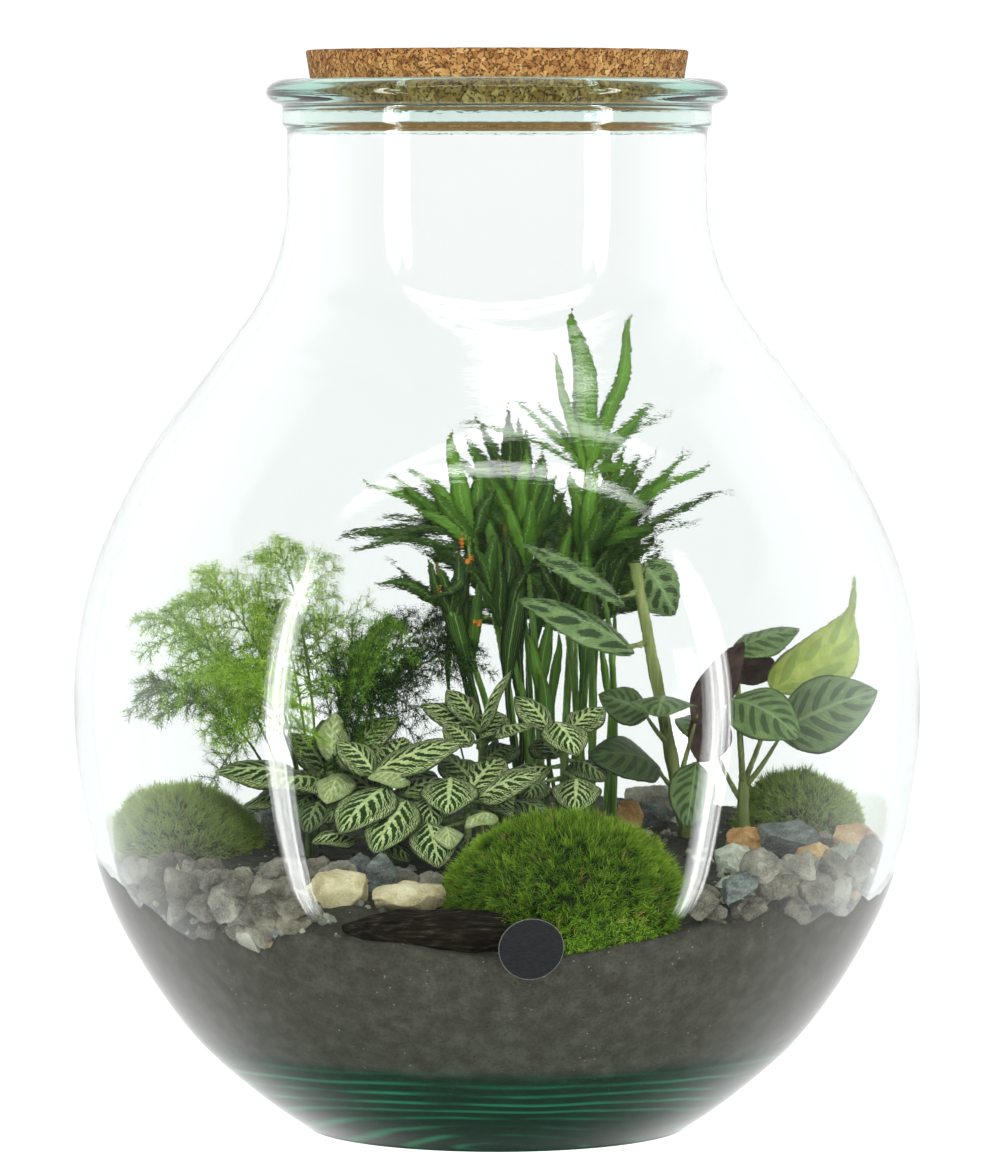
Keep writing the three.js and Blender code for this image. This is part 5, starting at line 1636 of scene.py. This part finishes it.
# painted light and shade: for the fans and fronds, tone runs from dark leaflets low in the clump to bright ones at its
# top
leaf_green = ramp(tree, tone, (0.0, "122606"), (0.3, "28490b"), (0.6, "487218"), (0.9, "71a034"), (1, "a3a63c"))
leaf_green = mixed(tree, fade(tree, blotch, 0.35, 0.7, 0.35, 0.0), leaf_green, "1f380c")
leaf_green = mixed(tree, lines, leaf_green, "7a9c48")
leaf_green = mixed(tree, fade(tree, reach, 0.04, 0.1, 0.5, 0.0), leaf_green, "8fb062")
leaf_green = mixed(tree, fade(tree, along, 0.93, 1.0, 0.0, 0.6), leaf_green, "9a8a44")
feed(tree, shader, Base_Color=mixed(tree, under, leaf_green, mixed(tree, 0.4, leaf_green, "6f9440")))
dented(tree, shader, lines, 0.15)

cane = grained_finish(
    "palm_cane", (1, 1, 0.1), 0.45, 3.0, 0.2, (0.3, "456820"), (0.5, "678f33"), (0.72, "93b35c"),
    Roughness=0.45, Specular_IOR_Level=0.4,
)
buds = grained_finish("orange_buds", (1, 1, 1), 1.2, 3.0, 0, (0.35, "a8500f"), (0.6, "dd8a22"), Roughness=0.4)
print("finishes:", palm_leaf.name, cane.name, "and", buds.name)

# %% [markdown]
# The lists give every cane by its foot on the soil, the point that bends it and its end. The fans add the tip, the
# width and the sideways sway of each leaflet.

# %% Canes and leaflets of the palm as they stand
FANS = [
    # foot, bend and head of the cane, leaflets as (tip, width, sway)
    ((24, 38), (26, 36, 190), (33, 31, 235), [
        ((27, 30, 286), 10, 2.5), ((19, 28, 273), 4, 1), ((49, 30, 285), 6, 2.5), ((47, 36, 277), 3.4, 3),
        ((57, 30, 253), 4.6, -1.5), ((64, 34, 252), 1.8, -2), ((49, 27, 232), 4, -3), ((5, 28, 254), 2.6, 2),
        ((14, 33, 254), 3.2, 1), ((-15, 26, 246), 1.8, 5),
    ]),
    ((8, 30), (4, 27, 178), (-10, 20, 209), [
        ((-48, 14, 229), 5, 2), ((-40, 10, 231), 5, 1), ((-32, 16, 234), 4.2, 2), ((-25, 8, 226), 6, 1),
        ((-16, 16, 246), 7.6, -2), ((-7, 22, 234), 6.5, 1), ((-29, 6, 218), 6, 1), ((-58, 12, 206), 4.6, 3),
        ((-53, 4, 204), 4, 2), ((-44, 18, 213), 2.4, 3), ((-37, 0, 209), 5, 2), ((-27, 6, 186), 4.6, -6),
        ((-20, 10, 188), 4, -5), ((-1, 14, 226), 6, 0),
    ]),
    ((16, 36), (15, 34, 180), (9, 28, 201), [
        ((3, 26, 235), 6, 1), ((10, 22, 240), 7, -1), ((-2, 20, 230), 6, 1), ((16, 30, 238), 6.5, 1),
        ((22, 22, 231), 7, -1), ((2, 12, 220), 7, 1), ((14, 12, 222), 7, -1), ((8, 16, 228), 7, 1),
    ]),
    ((34, 36), (36, 34, 180), (30, 34, 202), [
        ((71, 34, 238), 4, -2), ((77, 28, 235), 5, -3), ((86, 34, 223), 4, -3), ((75, 38, 213), 1.5, -1),
        ((56, 24, 209), 6, -2), ((57, 20, 226), 4, -2), ((41, 30, 229), 6.5, -1), ((34, 24, 234), 7, 1),
        ((47, 18, 220), 6.5, -1), ((68, 40, 241), 1.4, 2), ((26, 30, 232), 7, 1), ((58, 40, 240), 1.4, -1),
        ((38, 12, 218), 7, -1),
    ]),
    ((2, 26), (0, 22, 150), (-18, 14, 184), [
        ((-44, 10, 192), 5, 3), ((-25, 8, 200), 5, -1), ((-13, 10, 202), 6, 1), ((-41, 20, 200), 1.4, 1),
        ((-9, 14, 196), 5, -1),
    ]),
    ((12, 24), (11, 22, 165), (-1, 20, 182), [
        ((-8, 16, 206), 6, 1), ((-1, 14, 210), 7, -1), ((5, 16, 204), 7, 1), ((-10, 10, 196), 5, 1),
        ((-5, 20, 219), 7, 1), ((12, 14, 199), 5, -1), ((2, 8, 200), 6, -1),
    ]),
    ((30, 32), (29, 30, 165), (23, 30, 183), [
        ((19, 24, 204), 6, 1), ((26, 26, 211), 7, -1), ((33, 22, 206), 6, 1), ((35, 18, 194), 5, -2),
        ((40, 24, 201), 6, -1), ((14, 18, 198), 6, 1), ((31, 14, 196), 5, -1),
    ]),
    ((42, 44), (44, 42, 165), (38, 38, 188), [
        ((46, 34, 202), 5.5, -2), ((41, 32, 179), 4, -5), ((44, 34, 212), 6, -1), ((52, 30, 206), 5.5, -2),
        ((35, 34, 208), 6, 1),
    ]),
]
FRONDS = [
    # foot, bend, end, side that its leaflets spread to, their length and width, pairs of them, bare part of the stalk
    ((14, 41), (11, 40, 190), (4, 44, 222), (1, 0.5), 36, 6.4, 8, 0.62),
    ((30, 50), (33, 50, 180), (40, 56, 212), (1, -0.3), 36, 6, 8, 0.62),
    ((28, 58), (30, 74, 178), (28, 90, 198), (1, 0), 38, 5.6, 10, 0.55),
    ((15, 55), (8, 68, 182), (-12, 84, 203), (0.8, 0.5), 37, 5.4, 10, 0.55),
    ((40, 60), (44, 70, 180), (44, 78, 200), (0.8, -0.5), 34, 5.4, 9, 0.6),
]
BLADES = [
    # foot, tip, width and tone of the long leaves that stand between the canes
    ((0, 20), (-23, 14, 200), 7, 0.3),
    ((3, 24), (-14, 18, 204), 6.5, 0.2),
    ((7, 26), (2, 20, 213), 8.5, 0.03),
    ((10, 22), (8, 16, 195), 7.5, 0.05),
    ((17, 24), (10, 18, 175), 4.5, 0.75),
    ((24, 22), (18, 20, 181), 5.5, 0.6),
    ((21, 30), (31, 26, 193), 5.5, 0.5),
    ((34, 34), (36, 30, 181), 3.6, 0.8),
    ((39, 38), (35, 34, 173), 2.6, 0.9),
    ((-1, 34), (-7, 28, 194), 5, 0.7),
    ((8, 34), (-1, 30, 191), 4.5, 0.25),
    ((30, 36), (22, 32, 174), 3.6, 0.85),
    ((32, 46), (31, 42, 197), 5, 0.35),
    ((14, 46), (18, 42, 197), 5, 0.25),
    ((12, 44), (-5, 42, 197), 5, 0.2),
    ((-5, 30), (-17, 26, 188), 2.6, 0.8),
    ((15, 18), (14, 16, 162), 5, 0.55),
]
BUDS = [
    # fan and place of each tuft
    (1, (-13, 15, 206)), (1, (-10, 12, 200)), (4, (-21, 11, 190)), (5, (-7, 14, 178)),
]
print("canes:", len(FANS) + len(FRONDS), "and blades:", len(BLADES))

# %% [markdown]
# A leaflet of a fan rises or bows by its length and takes its tone from its height, because the top of the clump has
# the light. The leaflets of a frond are shared out over two ranks, each at its own angle to the stalk.

# %% The palm grown
def strap(t):
    return math.sin(math.pi * t**0.75) ** 0.65


def stalked(t):
    """A thin stalk that widens into a blade above its middle."""
    s = within((t - 0.55) / 0.25)
    return mix(0.24, 1, s * s * (3 - 2 * s)) * min(1, 1.5 * math.sin(math.pi * min(1, t)) ** 0.7)


def add_fan(shape, seed, foot, bend, head, leaflets):
    """A cane with leaflets that fan out from its head."""
    _, path = stem_path(foot, bend, head, 18)
    shape.add(*tube(path, np.linspace(1.7, 0.9, len(path)), 7), kind=1)
    for k, (tip, width, sway) in enumerate(leaflets):
        n = seed * 20 + k
        base = path[-1] - unit(path[-1] - path[-4]) * 8 * vary(n, 1)
        up = (0.9 * (vary(n, 2) - 0.5), -1, 0.1 + 0.6 * vary(n, 3))
        tone = min(0.74, max(0.02, (tip[2] - 212) / 60 + 0.75 * (vary(n, 4) - 0.5) + 0.25))
        bow = math.dist(base, tip) * 0.07
        add_leaf(
            shape, base, tip, up, width, bow, 0.9, rows=14, half=2, thick=0.3, outline=strap, tone=tone, sway=sway,
            wave=0.028 * math.dist(base, tip) * (1 if k % 2 else -1),
        )


def add_frond(shape, seed, foot, bend, end, across, leaf, wide, pairs, bare):
    """A cane with two ranks of leaflets along its upper part."""
    curve, path = stem_path(foot, bend, end, 20)
    shape.add(*tube(path, np.linspace(1.2, 0.5, len(path)), 7), kind=1)
    across = unit(np.array([*across, 0.0]))
    for n, hand, spot, at, along in pairs_along(curve, seed, pairs, bare):
        spread = math.radians(mix(52, 8, spot**1.2) + 12 * (vary(n, 1) - 0.5))
        length = leaf * mix(0.72, 1, math.sin(math.pi * mix(0.18, 0.75, spot))) * mix(0.88, 1.08, vary(n, 2))
        tip = at + (along * math.cos(spread) + across * hand * math.sin(spread)) * length
        tip[2] -= length * mix(0.3, 0.02, spot**0.6)
        face = np.cross(along, across)
        face *= 1 if face[2] > 0 else -1
        width = wide * mix(0.8, 1.2, vary(n, 3)) * mix(0.85, 1.0, spot)
        # painted shade: leaflets low on a frond's stalk take a darker tone; a rare one is yellowing
        tone = 1.0 if vary(n, 5) > 0.985 else mix(0.02, 0.75, vary(n, 4)) * mix(0.45, 1, spot)
        add_leaf(
            shape, at, tip, face, width, length * 0.08, 0.9, rows=10, half=2, thick=0.3, outline=lance, tone=tone,
            sway=3 * (vary(n, 6) - 0.5),
        )


palm = Shape()
for i, fan in enumerate(FANS):
    add_fan(palm, i, *fan)
for i, frond in enumerate(FRONDS):
    add_frond(palm, i + 2, *frond)
for i, (foot, tip, width, tone) in enumerate(BLADES):
    base, side = (*foot, soil_top(*foot) - 6), (-1) ** i
    up = (0.3 * side, -1, 0.1)
    add_leaf(
        palm, base, tip, up, width * 1.15, 3, 0.8, rows=16, half=2, outline=stalked, tone=tone, sway=4 * side, wave=1.2,
    )
for fan, at in BUDS:
    at, head = np.array(at, float), np.array(FANS[fan][2], float)
    palm.add(*tube([head, mix(head, at, 0.5) + (0, -1, 0), at], (0.45, 0.4, 0.35), 5), kind=1)
    for k in range(8):
        out = np.array([vary(fan + at[2], k) - 0.5, -0.5, vary(fan + at[2], k + 9) - 0.5]) * 3.4
        palm.add(*tube([at + out * 0.1, at + out * 0.6, at + out], (0.2, 0.6, 0.25), 6), kind=2)
palm = palm.made("parlour_palm", [palm_leaf, cane, buds])
held_inside(palm, 1.5)
settle(palm, "palm_leaf", "palm_1", "palm_2")

# %% [markdown]
# ## The asparagus fern
#
# Its fronds are flat sprays of wire-thin twigs with thousands of soft needles, so fine that they look like green
# mist. The twigs are laid out as bare lines: a stalk, side branches on it, and twigs on those. A geometry tree then
# does two things with the lines: it sweeps a small section along them, and it sets a whorl of needles every
# millimetre or so along the ones that carry them.

# %% Fern finish
needles, tree, shader = finish("fern_needles", Roughness=0.6, Specular_IOR_Level=0.08)
# painted light and shade: the light trait makes the fronds in front bright and those behind dark
light = calc(tree, "MULTIPLY_ADD", trait(tree, "light"), 0.9, -0.2)
light = calc(tree, "MULTIPLY_ADD", trait(tree, "shade"), 0.4, light)
greens = ramp(tree, light, (0.0, "122806"), (0.3, "264b0d"), (0.6, "7ca332"), (0.85, "abc94c"), (1, "c9de6c"))
feed(tree, shader, Base_Color=greens)
dented(tree, shader, clouds(tree, place_on(tree), 2.0, 2.0), 0.05)
wire = grained_finish(
    "fern_twig", (1, 1, 0.15), 0.5, 3.0, 0, (0.3, "3c5a1c"), (0.55, "5f8030"), (0.75, "8a9c50"), Roughness=0.55
)
print("finishes:", needles.name, "and", wire.name)

# %% [markdown]
# A frond is one bent line with side branches in pairs, and each branch carries shorter twigs on both its sides. Every
# point keeps its thickness, whether it bears needles, and how bright its green is painted: lit in front, in painted
# shade behind.

# %% The twigs as lines
FERN = [
    # foot, bend, end, side that its branches spread to, how bright it is painted: lit in front, in painted shade behind
    ((-72, 6), (-88, 2, 168), (-117, -4, 180), (0.1, 0.75, 0.6), 0.8),
    ((-68, 12), (-78, 12, 176), (-103, 8, 190), (0.3, 0.7, 0.6), 0.95),
    ((-64, 18), (-66, 18, 178), (-78, 22, 202), (1, 0.4, 0), 0.9),
    ((-74, 14), (-90, 20, 150), (-122, 20, 154), (0, 0.9, 0.4), 0.55),
    ((-66, 26), (-72, 44, 160), (-80, 68, 178), (1, 0.2, 0), 0.5),
    ((-66, 2), (-76, -14, 155), (-90, -36, 166), (0.9, -0.5, 0), 0.78),
    ((-60, 10), (-60, 4, 160), (-42, 0, 176), (0, 0.8, 0.6), 0.5),
    ((-58, 18), (-52, 24, 166), (-18, 30, 180), (-0.2, 0.9, 0.5), 0.12),
    ((-60, 14), (-50, 14, 160), (-14, 18, 168), (0, 0.8, 0.6), 0.1),
    ((-60, 6), (-62, 0, 150), (-46, -4, 158), (-0.1, 0.8, 0.6), 0.14),
]
PAINTED_LIT_FRONDS = 6
BRANCH_PAIRS, TWIG_PAIRS, LONGEST_BRANCH = 9, 6, 34


class Lines:
    def __init__(self):
        self.points, self.edges = [], []
        self.traits = {"thick": [], "needled": [], "light": []}

    def add(self, path, radii, needled, light):
        start = len(self.points)
        self.points += list(path)
        self.edges += [(start + i, start + i + 1) for i in range(len(path) - 1)]
        self.traits["thick"] += [r * MM for r in radii]
        self.traits["needled"] += [float(needled)] * len(path)
        self.traits["light"] += [light] * len(path)


def drooping(at, way, length, droop, steps):
    return [at + way * length * t - np.array([0, 0, droop * t * t]) for t in np.linspace(0, 1, steps + 1)]


def twigs_of(fronds):
    """The lines of some fronds: stalk, side branches and twigs."""
    lines = Lines()
    for i, (foot, bend, end, across, light) in fronds:
        curve, path = stem_path(foot, bend, end, 20)
        lines.add(path, np.linspace(0.8, 0.3, len(path)), False, light)
        across = unit(np.array(across, float))
        for n, hand, spot, at, along in pairs_along(curve, i + 31, BRANCH_PAIRS, 0.42):
            spread = math.radians(mix(64, 26, spot) + 20 * (vary(n, 1) - 0.5))
            length = LONGEST_BRANCH * mix(1, 0.42, spot) * mix(0.75, 1.15, vary(n, 2))
            lift = np.cross(along, across) * (0.8 * (vary(n, 3) - 0.5))
            way = unit(along * math.cos(spread) + across * hand * math.sin(spread) + lift)
            branch = drooping(at, way, length, 6.0, 8)
            lines.add(branch[::2], np.linspace(0.34, 0.14, 5), True, light)
            flank = unit(np.cross(way, np.cross(along, across * hand)))
            for j in range(1, TWIG_PAIRS + 1):
                for turn in (-1, 1):
                    s = j / (TWIG_PAIRS + 0.6)
                    step = min(int(s * 8), 7)
                    start = mix(branch[step], branch[step + 1], s * 8 - step)
                    wander = np.array([vary(n * 3 + j, q + 4 * (turn > 0)) - 0.5 for q in range(3)]) * 0.8
                    out = unit(way * 0.7 + flank * turn * 0.75 + wander)
                    reach = length * 0.42 * (1 - 0.6 * s) * mix(0.7, 1.2, vary(n + j, 9 + turn))
                    lines.add(drooping(start, out, reach, 1.2, 2), (0.16, 0.13, 0.09), True, light)
    print("lines to grow needles on:", len(lines.points), "points")
    return shown("twigs", mesh_of("twigs", lines.points, [], lines.edges, **lines.traits))


print("fronds:", len(FERN))

# %% [markdown]
# The tree drops a point on the lines at every step of the spacing, turns a whorl of needles along the line there,
# and joins the whorls with the swept twigs.

# %% A tree that needles the twigs
needle_tree, given, result = fresh_tree("needled twigs", {
    "Lines": "Geometry", "Shapes": "Collection", "Spacing": "Float", "Smallest": "Float",
    "Largest": "Float", "Finish": "Material", "Twig Finish": "Material",
})
curves = put(needle_tree, "GeometryNodeMeshToCurve", {"Mesh": given["Lines"]})
section = put(needle_tree, "GeometryNodeCurvePrimitiveCircle", {"Resolution": 3, "Radius": 1.0})
swept = {"Curve": curves, "Profile Curve": section, "Scale": named(needle_tree, "thick"), "Fill Caps": True}
swept = put(needle_tree, "GeometryNodeCurveToMesh", swept)
swept = stored(needle_tree, swept, "shade", 0.5, "POINT")
swept = put(needle_tree, "GeometryNodeSetMaterial", {"Geometry": swept, "Material": given["Twig Finish"]})
carries = {0: named(needle_tree, "needled"), 1: 0.5}
carries = put(needle_tree, "FunctionNodeCompare", carries, operation="GREATER_THAN")
green = put(needle_tree, "GeometryNodeSeparateGeometry", {"Geometry": curves, "Selection": carries}, domain="POINT")
dots = put(needle_tree, "GeometryNodeCurveToPoints", {"Curve": green, "Length": given["Spacing"]}, mode="LENGTH")
low = (-0.25, -0.25, -math.pi)
spin = chance(needle_tree, "FLOAT_VECTOR", low, [-v for v in low], 21)
spin = put(needle_tree, "FunctionNodeEulerToRotation", {0: spin})
turn = {"Rotation": dots.node.outputs["Rotation"], "Rotate By": spin}
turn = put(needle_tree, "FunctionNodeRotateRotation", turn, rotation_space="LOCAL")
made = copies(needle_tree, dots, turn, given)
made = put(needle_tree, "GeometryNodeSetMaterial", {"Geometry": made, "Material": given["Finish"]})
join = needle_tree.nodes.new("GeometryNodeJoinGeometry")
for part in (made, swept):
    needle_tree.links.new(part, join.inputs[0])
needle_tree.links.new(join.outputs[0], result)
print("nodes in the needle tree:", len(needle_tree.nodes))

# %% [markdown]
# A needle is the same thin blade as a moss leaf, only narrower. Four different whorls are turned and sized by chance.

# %% Needles on the twigs
NEEDLE = 0.13  # half its width, and its depth


def whorl(n):
    """Four needles round a twig, leaning forwards along it."""
    spikes = []
    for k in range(4):
        turn = 2 * math.pi * (k + 0.6 * vary(n, k)) / 4
        spread = math.radians(mix(32, 62, vary(n + 5, k)))
        spikes += spike(turn, spread, mix(2.4, 4.2, vary(n + 9, k)), NEEDLE, NEEDLE)
    return spiky(f"whorl_{n}", spikes)


whorls = collection_of("whorls", [whorl(n) for n in range(4)])
fern_nodes = [n for n in frame["nodes"] if n.startswith("asparagus_fern")]
numbered = list(enumerate(FERN))
for name, fronds, spacing, nodes in (
    ("asparagus_fern_light", numbered[:PAINTED_LIT_FRONDS], 1.1, fern_nodes[:3]),
    ("asparagus_fern_dark", numbered[PAINTED_LIT_FRONDS:], 1.25, fern_nodes[3:]),
):
    fern = run_tree(
        needle_tree, twigs_of(fronds), name, Shapes=whorls, Spacing=spacing * MM, Smallest=0.75, Largest=1.15,
        Finish=needles, **{"Twig Finish": wire},
    )
    held_inside(fern, 0.8)
    settle(fern, "fern", *nodes)
cleared(whorls)

# %% [markdown]
# ## The size
#
# The dressed part is meant to be as large as its solids, so both boxes are printed side by side.

# %% Both boxes
dressed_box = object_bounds()
({name: [list(corner) for corner in box] for name, box in
           {"solid": solid_box, "dressed": dressed_box}.items()})
print("solid, mm:", [round(c / MM, 1) for corner in solid_box for c in corner])
print("dressed, mm:", [round(c / MM, 1) for corner in dressed_box for c in corner])
